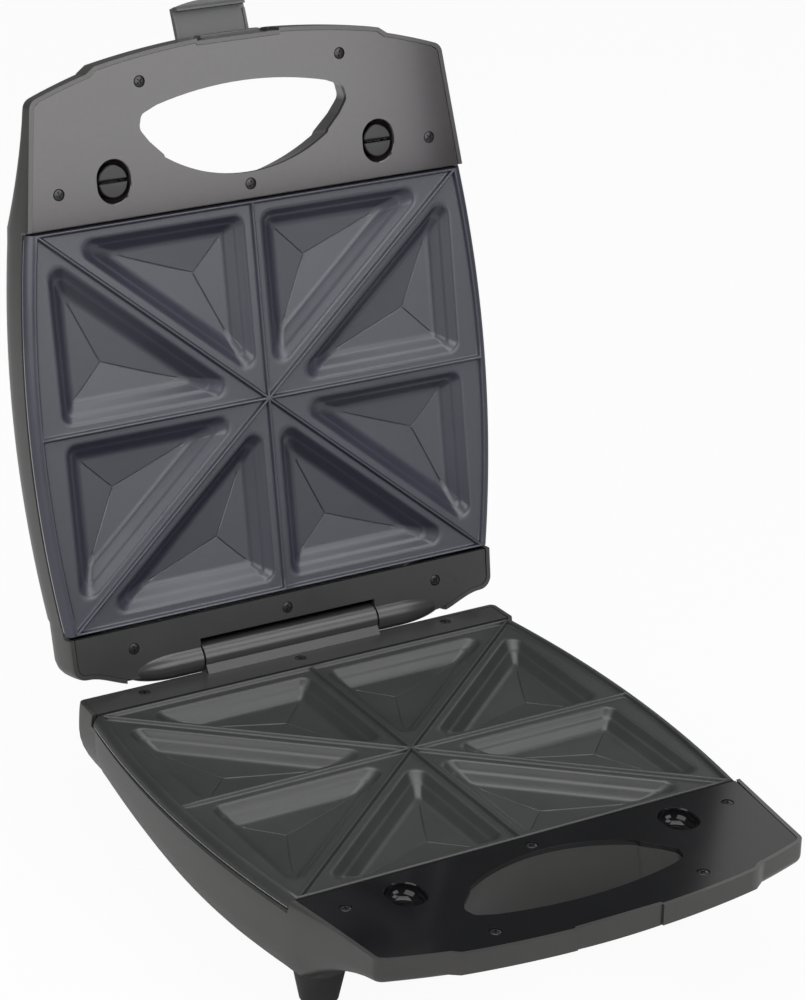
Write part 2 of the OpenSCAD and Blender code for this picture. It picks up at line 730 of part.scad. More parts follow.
// Shell shared by both halves. The tunnel lines the grip, and posts carry the trim and plate.
module casing(c, cover_screws, side) {
    deep = deep_of(c);
    rear = outline_of(c)[len(outline_of(c)) / 2].y;
    difference() {
        union() {
            case_skin(c, 0, [ring_count - 1 : -1 : 0]);
            prism(band_pts(rim_w), -seam, -band_h);
        }
        difference() {
            case_skin(c, case_wall, [ring_count - 1, 9, 7, 5, 3, 0]);
            difference() {
                prism(grip_pts(2), -fascia_back - touch, -deep);
                prism(grip_pts(0.4), 1, -deep - 1);
            }
            for (p = fascia_screws) post(p.x, p.y, boss_r, -fascia_back - touch, -deep);
            for (p = cover_screws) post(p.x, p.y, boss_r, -fascia_back - touch, -deep);
            for (p = post_places) {
                post(p.x, p.y, post_r, post_z - touch, -deep);
                post(p.x, p.y, shoulder_r, shield_z - shield_t - touch, -deep);
            }
            bulkheads();
            children();
        }
        prism(fascia_pts(seam), 1, -fascia_back);
        prism(cover_pts(rear, seam), 1, -fascia_back);
        block(-rim_x - 30, rim_x + 30, -half_d - 2.2, half_d + 2.2, -rim_drop - 0.3, 5);
        prism(grip_pts(0.4), 1, -deep - 1);
        hinge_relief(-knuckle_x - 1, knuckle_x + 1, side);
        for (p = concat(fascia_screws, cover_screws))
            post(p.x, p.y, pilot_r, 1, -fascia_back - 8);
        for (p = post_places) {
            post(p.x, p.y, 2 + seam, 1, -deep - 1);
            post(p.x, p.y, 4, -deep + 3, -deep - 1);
        }
    }
}

// Latch numbers shared by the latch and by what clears it
latch_half = latch_w / 2;
latch_slot = latch_half + 0.8;
latch_skirt = latch_reach - 1.2;
latch_root = 3;
latch_ear_t = 3;
latch_ear_r = 4.2;
latch_ear_drop = 8;
hook_in = 4.2;
latch_block_x = latch_half + 5;
latch_back = 7;

// Profile in Y and Z carried along X
module slab(x0, x1, pts) {
    translate([x0, 0, 0]) rotate([90, 0, 90]) linear_extrude(x1 - x0) polygon(pts);
}

// Room for the latch in the lid's nose, drawn with the lid's outside downwards
module latch_room() {
    py = -latch_y;
    pz = -latch_z;
    far = latch_y + latch_back + 30;
    difference() {
        block(-latch_slot, latch_slot, -far, py + latch_back, pz - 40, pz);
        rod(-latch_slot - 1, latch_slot + 1, py, pz, latch_skirt);
    }
    block(-latch_slot, latch_slot, -far, py - latch_skirt, pz - 0.5, 1);
    for (s = [-1, 1]) {
        x = s * (latch_half - latch_ear_t / 2);
        half = latch_ear_t / 2 + 0.5;
        rod(x - half, x + half, py, pz, latch_ear_r + 0.6);
        intersection() {
            rod(x - half, x + half, py, pz, norm([latch_reach, latch_ear_drop]) + 0.8);
            block(x - half, x + half, -far, py + latch_back, pz - 40, pz + latch_ear_drop + 0.7);
        }
    }
    rod(-latch_block_x - 0.5, latch_block_x + 0.5, py, pz, latch_pin_r + touch);
}

// Thicker stretch of the base's rear wall, below the hinge
hinge_block_x = knuckle_x + 4;

// Feet
function foot_place(sx, front) = front ? [sx * foot_x, -foot_front] : [sx * foot_rear_x, foot_rear];
foot_places = [for (sx = [-1, 1], front = [true, false]) foot_place(sx, front)];
foot_screw_r = 1.8;
foot_head_r = 4;
foot_head_z = -stand_h + 9;
pad_top = -case_depth + 6;

// Cord inlet
gland_x = -70;
gland_z = -16;
gland_r = 7;
hinge_block_out = 4;
hinge_block_in = 0.3;
hinge_block_z = -26;
gland_wall_y = base_rear_y + hinge_block_out;
gland_neck = hinge_block_out + rim_w - hinge_block_in + 0.2;

// Lamps in the lid
lamp_x = 10;
lamp_y = 18.1 - half_d;
lens_r = 3.5;

module base_casing() {
    color("#3a3a3c") in_base() difference() {
        union() {
            casing(base_case, base_cover_screws, 1)
                block(-latch_block_x, latch_block_x, -nose_y - 4, -nose_y + 8,
                    -base_nose - 8, -fascia_back - 2);
            for (p = foot_places) post(p.x, p.y, foot_top_r + 0.7, foot_pad_z, pad_top);
            difference() {
                block(-hinge_block_x, hinge_block_x, base_cover_rear + hinge_block_in,
                    gland_wall_y, hinge_block_z, -fascia_drop);
                hinge_relief(-hinge_block_x - 1, hinge_block_x + 1);
            }
        }
        block(-barrel_x - 0.3, barrel_x + 0.3, base_cover_rear - 4, hinge_y + 3,
            -fascia_back - touch, 2);
        for (p = foot_places) post(p.x, p.y, foot_screw_r - 0.3, pad_top + 1, foot_pad_z - 1);
        block(-latch_gap_x, latch_gap_x, -nose_y - 20, -latch_y - latch_reach + 1.7,
            -band_h - 1.5, 1);
        block(-latch_half - 0.8, latch_half + 0.8, -nose_y - 20, -latch_y - latch_reach + 1.7,
            -case_depth, 1);
        block(-latch_half - 0.5, latch_half + 0.5, -nose_y - 20,
            -latch_y - latch_reach + hook_in + 0.5,
            latch_z - latch_len - hook_h - 0.7, latch_z - latch_len + 0.5);
        translate([gland_x, gland_wall_y, gland_z]) rotate([90, 0, 0])
            cylinder(r = gland_r + seam, h = 2 * gland_neck + 1, center = true);
        for (i = [-2 : 2])
            block(i * 14 - 2, i * 14 + 2, 44, 72, -case_depth - 1, -case_depth + case_wall + 1);
    }
}

module base_fascia() {
    color("#17171a") in_base() fascia();
}

// Rear strip of the base with the fixed middle barrel of the hinge
base_cover_rear = base_rear_y - rim_w;
ramp_y = base_cover_rear - 1.2;
module base_rear_cover() {
    color("#242426") in_base() difference() {
        union() {
            prism(cover_pts(base_rear_y), -fascia_drop, -fascia_back);
            rod(-barrel_x, barrel_x, hinge_y, hinge_z, barrel_r);
            slab(-barrel_x, barrel_x, [
                [ramp_y, -fascia_back], [ramp_y, -fascia_drop],
                [hinge_y - 7.4, hinge_z - 1], [hinge_y, hinge_z],
                [hinge_y - 0.5, hinge_z - barrel_r + 0.3], [hinge_y - 4, -fascia_back]
            ]);
        }
        rod(-barrel_x - 1, barrel_x + 1, hinge_y, hinge_z, hinge_pin_r + touch);
        for (p = base_cover_screws) {
            post(p.x, p.y, pilot_r + seam, 1, -fascia_back - 1);
            post(p.x, p.y, head_r + seam, 1, -fascia_drop - head_h);
        }
    }
}

module base_plate() {
    color("#303230") in_base() plate();
}

// Tubular element: one loop under the pockets' lowest points, its ends turned to the rear
element_gap = 16;
element_end = half_d - 10;
elbow_r = 10;
module bend(x, y, r, a0, a1) {
    translate([x, y, element_z]) rotate(a0) rotate_extrude(angle = a1 - a0)
        translate([r, 0]) circle(r = element_r);
}

module run(a, b) {
    translate([a.x, a.y, element_z]) rotate(atan2(b.y - a.y, b.x - a.x))
        rotate([0, 90, 0]) cylinder(r = element_r, h = norm(b - a));
}

module element() {
    ex = element_x;
    ey = element_y;
    r = element_bend;
    for (s = [0, 1]) mirror([s, 0, 0]) {
        run([element_gap, element_end], [element_gap, ey + elbow_r]);
        bend(element_gap + elbow_r, ey + elbow_r, elbow_r, 180, 270);
        run([element_gap + elbow_r, ey], [ex - r, ey]);
        bend(ex - r, ey - r, r, 0, 90);
        run([ex, ey - r], [ex, -ey + r]);
        bend(ex - r, -ey + r, r, -90, 0);
        run([ex - r, -ey], [0, -ey]);
        translate([element_gap, element_end, element_z]) rotate([-90, 0, 0])
            cylinder(r = 1.2, h = tail);
    }
}

// Straps that clamp the element up against the plate, each with its two screws' holes
module clamps() {
    for (c = clamp_places) translate([c.x, c.y, 0]) rotate(c[2]) difference() {
        block(-4.5, 4.5, -clamp_gap - 4.5, clamp_gap + 4.5, clamp_z - touch - clamp_t,
            clamp_z - touch);
        for (s = [-1, 1]) post(0, s * clamp_gap, 1.5 + seam, clamp_z + 1, clamp_z - 5);
    }
}

// Thin pan below the element, carried on the shoulders of the plate's posts
shield_margin = clamp_gap + 6.5;
shield_x = element_x + shield_margin;
shield_y = element_y + shield_margin;
module heat_shield() {
    lip = 4;
    difference() {
        block(-shield_x, shield_x, -shield_y, shield_y, shield_z - shield_t, shield_z + lip);
        block(-shield_x + shield_t, shield_x - shield_t, -shield_y + shield_t,
            shield_y - shield_t, shield_z, shield_z + lip + 1);
        for (p = post_places) post(p.x, p.y, post_r + 0.4, shield_z + 1, shield_z - 2);
    }
}

module plate_screws(deep) {
    for (p = post_places) translate([p.x, p.y, -deep + 3 - touch - 2.4]) rotate([180, 0, 0])
        screw(3.7, 2.4, 2, deep - 3 - bead_h - 4);
    for (c = clamp_places) translate([c.x, c.y, clamp_z - touch - clamp_t - touch])
        rotate(c[2]) for (s = [-1, 1])
            translate([0, s * clamp_gap, -2]) rotate([180, 0, 0]) screw(2.8, 2, 1.5, 8);
}

module cover_screws(places) {
    for (p = places) translate([p.x, p.y, -fascia_drop - touch])
        screw(head_r, head_h - touch, pilot_r - touch, fascia_t + 6);
}

module base_element() {
    color("#7a6a58") in_base() element();
}

module base_element_clamps() {
    color("silver") in_base() clamps();
}

module base_heat_shield() {
    color("#b9bcc0") in_base() heat_shield();
}

module base_plate_screws() {
    color("#a0a4a8") in_base() plate_screws(case_depth);
}

module base_fascia_screws() {
    color("#202022") in_base() cover_screws(fascia_screws);
}

module base_rear_screws() {
    color("#202022") in_base() cover_screws(base_cover_screws);
}

// Disc thermostat on the underside of the land where the beads cross
stat_top = -bead_h - plate_t - touch;
stat_strap_z = -bead_h - plate_t - thermostat_h - touch;
module thermostat() {
    color("#c8b48c") in_base() {
        post(0, 0, thermostat_r, stat_top, stat_top - thermostat_h + 3);
        post(0, 0, thermostat_r - 1, stat_top - 1, stat_strap_z + touch);
        for (s = [-1, 1]) block(s * 3 - 0.4, s * 3 + 0.4, -thermostat_r - 3, -thermostat_r + 2,
            stat_top - 6, stat_top - 3.6);
    }
}

module thermostat_clip() {
    color("silver") in_base() difference() {
        block(-4, 4, -stat_boss - 4, stat_boss + 4, stat_strap_z - 1, stat_strap_z);
        for (s = [-1, 1]) post(0, s * stat_boss, 1.4, stat_strap_z + 1, stat_strap_z - 2);
    }
}

// One-shot fuse in its glass sleeve, lying on the heat shield
module thermal_fuse() {
    color("#d8d2c0") in_base() {
        rod(14, 46, 40, shield_z + 3.02, 3);
        rod(8, 52, 40, shield_z + 3.02, 0.7);
    }
}

// Mains terminals on the casing's floor
block_y = half_d - 10;
block_half_x = 22;
block_half_y = 8;
block_h = 12;
way_x = 14;
floor_z = -case_depth + case_wall;
module terminal_block() {
    color("ivory") in_base() difference() {
        block(-block_half_x, block_half_x, block_y - block_half_y, block_y + block_half_y,
            floor_z + touch, floor_z + block_h);
        for (i = [-1 : 1]) {
            post(i * way_x, block_y, 2.5, floor_z + 5, floor_z + block_h + 1);
            translate([i * way_x, block_y, floor_z + 6]) rotate([90, 0, 0])
                cylinder(r = 1.8, h = 30, center = true);
        }
    }
}

// Bush of the cord inlet in the rear wall
module cord_gland() {
    color("#1c1c1e") in_base() translate([gland_x, gland_wall_y, gland_z]) rotate([-90, 0, 0])
        rotate_extrude() polygon([
            [3.6, -gland_neck - 2], [gland_r + 1.2, -gland_neck - 2], [gland_r + 1.2, -gland_neck],
            [gland_r, -gland_neck], [gland_r, 0.1], [gland_r + 2.2, 0.1],
            [gland_r + 2, 1.2], [gland_r + 0.6, 2], [4.6, 2.2], [3.6, 1.8]
        ]);
}

// A lead through a list of points
module wire(pts, r) {
    for (i = [0 : len(pts) - 2]) {
        d = pts[i + 1] - pts[i];
        translate(pts[i]) rotate([0, acos(d.z / norm(d)), atan2(d.y, d.x)])
            cylinder(r = r, h = norm(d));
    }
    for (i = [1 : len(pts) - 2]) translate(pts[i]) sphere(r = r * 1.06);
}

lead_r = 1.5;
lead_start = block_y + block_half_y + touch;
lead_z = floor_z + 6;
tail = 7;
lead_gap = 0.1;
lead_turn = 6;
module base_leads() {
    color("#c9c3b4") in_base() {
        for (s = [-1, 1]) wire([
            [s * way_x, block_y + 2, lead_z], [s * way_x, lead_start + lead_turn, lead_z],
            [s * way_x, lead_start + lead_turn, shield_z - 3],
            [s * element_gap, element_end + tail + lead_turn, element_z],
            [s * element_gap, element_end + tail + lead_gap, element_z]
        ], lead_r);
    }
}

// Feet: tapered, hollowed for their screws
module foot(sx, front) {
    p = foot_place(sx, front);
    h = stand_h + foot_pad_z - touch;
    color("#161618") in_base() translate([p.x, p.y, -stand_h]) rotate_extrude() polygon([
        [foot_head_r + 0.6, 0], [foot_r - 1.2, 0], [foot_r - 0.35, 0.35], [foot_r, 1.2],
        [foot_top_r - 0.6, h - 3], [foot_top_r, h - 1.5], [foot_top_r, h],
        [foot_screw_r + seam, h], [foot_screw_r + seam, stand_h + foot_head_z],
        [foot_head_r + 0.6, stand_h + foot_head_z]
    ]);
}

module front_left_foot() {
    foot(-1, true);
}

module front_right_foot() {
    foot(1, true);
}

module rear_left_foot() {
    foot(-1, false);
}

module rear_right_foot() {
    foot(1, false);
}

module foot_screws() {
    color("#8c9094") in_base() for (p = foot_places)
        translate([p.x, p.y, foot_head_z - touch - 2.2]) rotate([180, 0, 0])
            screw(foot_head_r, 2.2, foot_screw_r - 0.32, foot_pad_z - foot_head_z + 5);
}

module lid_casing() {
    color("#3f3f42") in_lid_half() difference() {
        casing(lid_case, lid_cover_screws, -1)
            block(-latch_block_x, latch_block_x, -nose_y - 4, -grip_front,
                -lid_nose - 4, -fascia_back - 0.6);
        latch_room();
        for (s = [-1, 1]) post(s * lamp_x, lamp_y, lens_r + seam, -lid_depth - 2, -lid_depth + 6);
    }
}

module lid_fascia() {
    color("#2a2624") in_lid_half() {
        fascia();
        for (s = [-1, 1]) translate([s * socket_x, socket_y, 0]) intersection() {
            prism(obround(socket_w + 1, socket_l + 1), -fascia_drop - 0.6,
                -fascia_drop - socket_depth - 0.5);
            translate([0, 0, -fascia_drop - socket_depth - 1]) difference() {
                cylinder(r = socket_w / 2 - 1, h = socket_depth);
                block(-20, 20, 3, 20, -1, 20);
            }
        }
    }
}

// Rear trim of the lid with the two moving knuckles, each shaped like a bullet
knuckle_gap = 1.1;
function knuckle_r(t) = barrel_r * (1 - pow(t, 5) * 0.5);
knuckle_in = barrel_x + knuckle_gap;
module lid_rear_cover() {
    web_y = lid_rear_y - rim_w - 6.5;
    bullet = [for (i = [0 : 8]) let (t = i / 8)
        [knuckle_r(t), mix(knuckle_in, knuckle_x, t)]];
    color("#2b2b2e") in_lid_half() difference() {
        union() {
            difference() {
                prism(cover_pts(lid_rear_y), -fascia_drop, -fascia_back);
                rod(-knuckle_in + 0.3, knuckle_in - 0.3, hinge_y, -hinge_z, relief_r);
                block(-knuckle_in + 0.3, knuckle_in - 0.3, ramp_y - 0.4, hinge_y + 12,
                    -fascia_back - 1, 0);
            }
            for (s = [0, 1]) mirror([s, 0, 0]) {
                translate([0, hinge_y, -hinge_z]) rotate([0, 90, 0])
                    rotate_extrude() polygon(concat([[0, knuckle_in]], bullet, [[0, knuckle_x]]));
                slab(knuckle_in, knuckle_in + 26, [
                    [web_y, -fascia_drop - 1.2], [hinge_y - 5.4, -fascia_drop - 1.2],
                    [hinge_y, -hinge_z], [hinge_y - 4.6, -hinge_z - 3.6],
                    [web_y, -fascia_back]
                ]);
            }
        }
        rod(-knuckle_x + 12, knuckle_x - 12, hinge_y, -hinge_z, hinge_pin_r + slip);
        for (p = lid_cover_screws) {
            post(p.x, p.y, pilot_r + seam, 1, -fascia_back - 1);
            post(p.x, p.y, head_r + seam, 1, -fascia_drop - head_h);
        }
    }
}

module lid_plate() {
    color("#3c3e48") in_lid_half() plate();
}

module lid_element() {
    color("#7a6a58") in_lid_half() element();
}

module lid_element_clamps() {
    color("silver") in_lid_half() clamps();
}

module lid_heat_shield() {
    color("#b9bcc0") in_lid_half() heat_shield();
}

module lid_plate_screws() {
    color("#a0a4a8") in_lid_half() plate_screws(lid_depth);
}

module lid_fascia_screws() {
    color("#202022") in_lid_half() cover_screws(fascia_screws);
}

module lid_rear_screws() {
    color("#202022") in_lid_half() cover_screws(lid_cover_screws);
}

lamp_seat = -lid_depth + case_wall;
holder_half_x = 18;
holder_half_y = 8;
holder_h = 10;
lead_low = lamp_seat + 3.4;
module lid_leads() {
    color("#c9c3b4") in_lid_half() {
        for (s = [-1, 1]) wire([
            [s * element_gap, element_end + tail + lead_gap, element_z],
            [s * element_gap, element_end + tail + lead_turn - 1, element_z],
            [s * element_gap, element_end + tail + lead_turn - 1, lead_low + 2],
            [s * element_gap, element_end - 8, lead_low],
            [s * element_gap * 0.6, lamp_y + 24, lead_low],
            [s * 6, lamp_y + holder_half_y + 0.5, lamp_seat + 5]
        ], lead_r);
    }
}

// Holder of the two neon lamps, under their lenses
module lamp_holder() {
    color("ivory") in_lid_half() difference() {
        block(-holder_half_x, holder_half_x, lamp_y - holder_half_y, lamp_y + holder_half_y,
            lamp_seat + touch, lamp_seat + holder_h);
        for (s = [-1, 1]) post(s * lamp_x, lamp_y, lens_r + 1.4, lamp_seat - 1, lamp_seat + 8);
    }
}

module lens(s) {
    in_lid_half() translate([s * lamp_x, lamp_y, -lid_depth]) rotate_extrude() polygon([
        [0, -0.9], [1.6, -0.75], [2.8, -0.35], [lens_r, 0], [lens_r, case_wall + touch],
        [lens_r + 1.1, case_wall + touch], [lens_r + 1.1, case_wall + 1.4], [0, case_wall + 1.4]
    ]);
}

module power_lens() {
    color("#a3201a") lens(-1);
}

module ready_lens() {
    color("#2c8a3c") lens(1);
}

pin_in = 32;
pin_out = knuckle_x - 14;
module hinge_pin(s) {
    color("#9a9ea2") in_base() mirror([s < 0 ? 1 : 0, 0, 0])
        rod(pin_in, pin_out, hinge_y, hinge_z, hinge_pin_r);
}

module hinge_pin_left() {
    hinge_pin(-1);
}

module hinge_pin_right() {
    hinge_pin(1);
}

// Sleeve that takes the lid's leads through the barrel
module link_sleeve() {
    color("#b7463a") in_base() difference() {
        rod(-pin_in + 1, pin_in - 1, hinge_y, hinge_z, hinge_pin_r - 0.05);
        rod(-pin_in, pin_in, hinge_y, hinge_z, hinge_pin_r - 0.7);
    }
}

// Latch: a flap on two ears, with a hook lip and a curved finger tip
module latch() {
    tip_r = (pow(latch_half, 2) + pow(latch_tip, 2)) / (2 * latch_tip);
    tip_z = latch_low;
    color("#333336") in_latch() difference() {
        union() {
            intersection() {
                block(-latch_half, latch_half, -latch_reach - latch_t, -latch_reach,
                    tip_z, latch_root);
                translate([0, -latch_reach, tip_z + tip_r]) rotate([90, 0, 0])
                    cylinder(r = tip_r, h = 20, center = true, $fn = 96);
            }
            slab(-latch_half + 1, latch_half - 1, [
                [-latch_reach - 0.5, -latch_len], [-latch_reach + hook_in, -latch_len],
                [-latch_reach + hook_in, -latch_len - 0.8],
                [-latch_reach + 1.2, -latch_len - hook_h],
                [-latch_reach - 0.5, -latch_len - hook_h]
            ]);
            for (s = [0, 1]) mirror([s, 0, 0]) {
                block(latch_half - 1.4, latch_half, -latch_reach - 0.5, -latch_reach + 0.7,
                    -latch_len + 2, latch_root - 1);
                slab(latch_half - latch_ear_t, latch_half, [
                    [-latch_reach - 0.5, latch_root], [-latch_reach - 0.5, -latch_ear_drop],
                    [0, -latch_ear_r], [0, latch_ear_r]
                ]);
                rod(latch_half - latch_ear_t, latch_half, 0, 0, latch_ear_r);
            }
        }
        rod(-latch_half - 1, latch_half + 1, 0, 0, latch_pin_r + slip);
    }
}

module latch_pin() {
    color("#9a9ea2") in_lid() rod(-latch_block_x + 0.5, latch_block_x - 0.5,
        -latch_y, latch_z, latch_pin_r);
}

base_casing();
base_fascia();
base_rear_cover();
base_plate();
base_element();
base_element_clamps();
base_heat_shield();
base_plate_screws();
base_fascia_screws();
base_rear_screws();
thermostat();
thermostat_clip();
thermal_fuse();
terminal_block();
cord_gland();
base_leads();
front_left_foot();
front_right_foot();
rear_left_foot();
rear_right_foot();
foot_screws();
lid_casing();
lid_fascia();
lid_rear_cover();
lid_plate();
lid_element();
lid_element_clamps();
lid_heat_shield();
lid_plate_screws();
lid_fascia_screws();
lid_rear_screws();
lid_leads();
lamp_holder();
power_lens();
ready_lens();
hinge_pin_left();
hinge_pin_right();
link_sleeve();
latch();
latch_pin();
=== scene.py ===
"""Sandwich toaster with its lid open: the surfaces, finishes, lights and camera round the solid frame.

Sizes are in millimetres, with the middle of the base plate's face at the origin, and become metres
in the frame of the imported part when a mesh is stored.
"""

import logging
import math
from dataclasses import dataclass
from enum import Enum
from typing import Callable, Iterable, Optional, Sequence, Union

import bmesh
import bpy
import numpy as np
from mathutils import Matrix, Vector


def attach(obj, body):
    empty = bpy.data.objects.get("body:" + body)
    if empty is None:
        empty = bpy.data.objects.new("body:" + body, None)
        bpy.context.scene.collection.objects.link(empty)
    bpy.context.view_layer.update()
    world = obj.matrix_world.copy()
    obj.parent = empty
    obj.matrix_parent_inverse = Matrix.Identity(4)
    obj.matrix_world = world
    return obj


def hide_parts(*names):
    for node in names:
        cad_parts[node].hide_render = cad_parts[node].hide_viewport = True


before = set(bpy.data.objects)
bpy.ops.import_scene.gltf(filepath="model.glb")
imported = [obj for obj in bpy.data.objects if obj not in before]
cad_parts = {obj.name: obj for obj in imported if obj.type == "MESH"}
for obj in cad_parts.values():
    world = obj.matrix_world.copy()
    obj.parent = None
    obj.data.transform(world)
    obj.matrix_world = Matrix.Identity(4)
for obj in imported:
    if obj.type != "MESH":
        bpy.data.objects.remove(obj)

LOG = logging.getLogger("toaster")
Array = np.ndarray
Number = Union[int, float]


class Half(Enum):
    """The two halves of the toaster."""

    BASE = "base"
    LID = "lid"


@dataclass(frozen=True)
class Sizes:
    """Main sizes of the toaster in millimetres and degrees, the same as in the part's source."""

    half_w: float = 120.0
    half_d: float = 102.1
    plate_bow: float = 7.9
    plate_t: float = 2.4
    bead_h: float = 2.2
    pocket_land: float = 6.5
    end_land: float = 7.2
    rim_roll: float = 4.6
    rim_drop: float = 6.0
    seam: float = 0.15
    trim_gap: float = 2.4
    rim_in: float = 0.2
    nose_corner_in: float = 7.6
    case_wall: float = 2.4
    rim_w: float = 2.2
    nose_y: float = 186.1
    nose_r: float = 343.0
    band_r: float = 440.0
    band_x: float = 79.5
    band_h: float = 11.0
    base_rear_y: float = 121.8
    lid_rear_y: float = 128.4
    fascia_t: float = 2.6
    fascia_drop: float = 0.45
    grip_x: float = 58.6
    grip_front: float = 163.9
    grip_rear: float = 117.4
    socket_w: float = 17.8
    socket_l: float = 21.8
    socket_depth: float = 7.0
    socket_x: float = 75.6
    socket_in: float = 5.7
    hinge_y: float = 128.9
    hinge_z: float = 5.0
    barrel_r: float = 7.8
    barrel_x: float = 51.0
    knuckle_x: float = 94.0
    hinge_pin_r: float = 2.5
    open_angle: float = 101.1
    latch_y: float = 176.4
    latch_z: float = 12.9
    latch_reach: float = 12.65
    latch_len: float = 25.9
    latch_w: float = 40.7
    latch_t: float = 2.6
    latch_side_gap: float = 2.9
    latch_swing: float = 103.8
    hook_h: float = 2.6
    latch_tip: float = 2.8
    hook_gap: float = 0.4
    lid_dip: float = 2.4
    lid_swell_out: float = 5.5
    stand_h: float = 64.0
    foot_r: float = 9.5
    foot_top_r: float = 12.5
    foot_x: float = 102.7
    foot_front: float = 92.0
    foot_rear_x: float = 80.0
    foot_rear: float = 96.0
    base_depth: float = 45.0
    lid_depth: float = 42.0

    @property
    def plate_end(self) -> float:
        """Distance from the plate's middle to the trim in front of it and behind it."""
        return self.half_d + self.trim_gap

    @property
    def rim_x(self) -> float:
        """Half width of a casing at the front edge of the plate."""
        return self.half_w + self.rim_roll - self.rim_in

    @property
    def nose_corner_x(self) -> float:
        """Half width of a casing's nose at its front corners."""
        return self.rim_x - self.nose_corner_in

    @property
    def frame_y(self) -> float:
        """How far the plate's middle lies behind the middle of the whole part.

        Returns:
            The distance in millimetres, worked out from the swung-up latch and the nose.
        """
        swing, turn = math.radians(self.latch_swing), math.radians(self.open_angle)
        y, z = -self.latch_reach - self.latch_t, self.latch_low
        far_y = y * math.cos(swing) + z * math.sin(swing) - self.latch_y - self.hinge_y
        far_z = z * math.cos(swing) - y * math.sin(swing) + self.latch_z - self.hinge_z
        back = self.hinge_y + far_y * math.cos(turn) + far_z * math.sin(turn)
        return (back - self.nose_y - self.rim_w) / 2

    @property
    def latch_low(self) -> float:
        """Height of the latch's finger tip below its pin."""
        return self.hook_gap - self.latch_len - self.hook_h - self.latch_tip

    @property
    def fascia_back(self) -> float:
        """Depth of the underside of a fascia below the parting plane."""
        return self.fascia_drop + self.fascia_t


S = Sizes()
PER_METRE = 1000.0
WIDE = 200.0
HIGH = 60.0
OVER = 1.0
LEAST = 1e-3
FASCIA_SCREWS = ((0.0, -111.5), (105.9, -120.8), (-105.9, -120.8), (56.8, -170.6), (-56.8, -170.6))
REAR_SCREWS = {Half.BASE: ((0.0, 113.0), (89.5, 115.5), (-89.5, 115.5)),
               Half.LID: ((0.0, 112.0), (89.5, 115.5), (-89.5, 115.5))}
SOCKET_Y = -(S.grip_rear + S.socket_in)
FEET = {"front": (S.foot_x, -S.foot_front), "rear": (S.foot_rear_x, S.foot_rear)}


# Placing

def turned_x(points: Array, degrees: float, y: float, z: float) -> Array:
    """Points turned about a line along X: y' = y cos a - z sin a, z' = y sin a + z cos a.

    Args:
        points: Points, with x, y and z last.
        degrees: Angle of the turn by the right-hand rule.
        y: Where the line lies along Y.
        z: Where the line lies along Z.

    Returns:
        The turned points.
    """
    a = math.radians(degrees)
    dy, dz = points[..., 1] - y, points[..., 2] - z
    return np.stack([points[..., 0], y + dy * math.cos(a) - dz * math.sin(a),
                     z + dy * math.sin(a) + dz * math.cos(a)], axis=-1)


def on_base(points: Array) -> Array:
    """Points drawn on the base half, moved into the part's frame in metres."""
    return (np.asarray(points, float) + np.array([0.0, -S.frame_y, S.stand_h])) / PER_METRE


def on_lid(points: Array) -> Array:
    """Points of the closed lid, turned open on the hinge and moved into the part's frame."""
    return on_base(turned_x(np.asarray(points, float), -S.open_angle, S.hinge_y, S.hinge_z))


def on_lid_half(points: Array) -> Array:
    """Points drawn with the lid's outside downwards, as the base is drawn."""
    return on_lid(np.asarray(points, float) * np.array([1.0, 1.0, -1.0]))


def on_latch(points: Array) -> Array:
    """Points of the hanging latch round its pin, swung up on the open lid."""
    p = turned_x(np.asarray(points, float), -S.latch_swing, 0.0, 0.0)
    return on_lid(p + np.array([0.0, -S.latch_y, S.latch_z]))


Placer = Callable[[Array], Array]
PLACE: dict[Half, Placer] = {Half.BASE: on_base, Half.LID: on_lid_half}


# Meshes

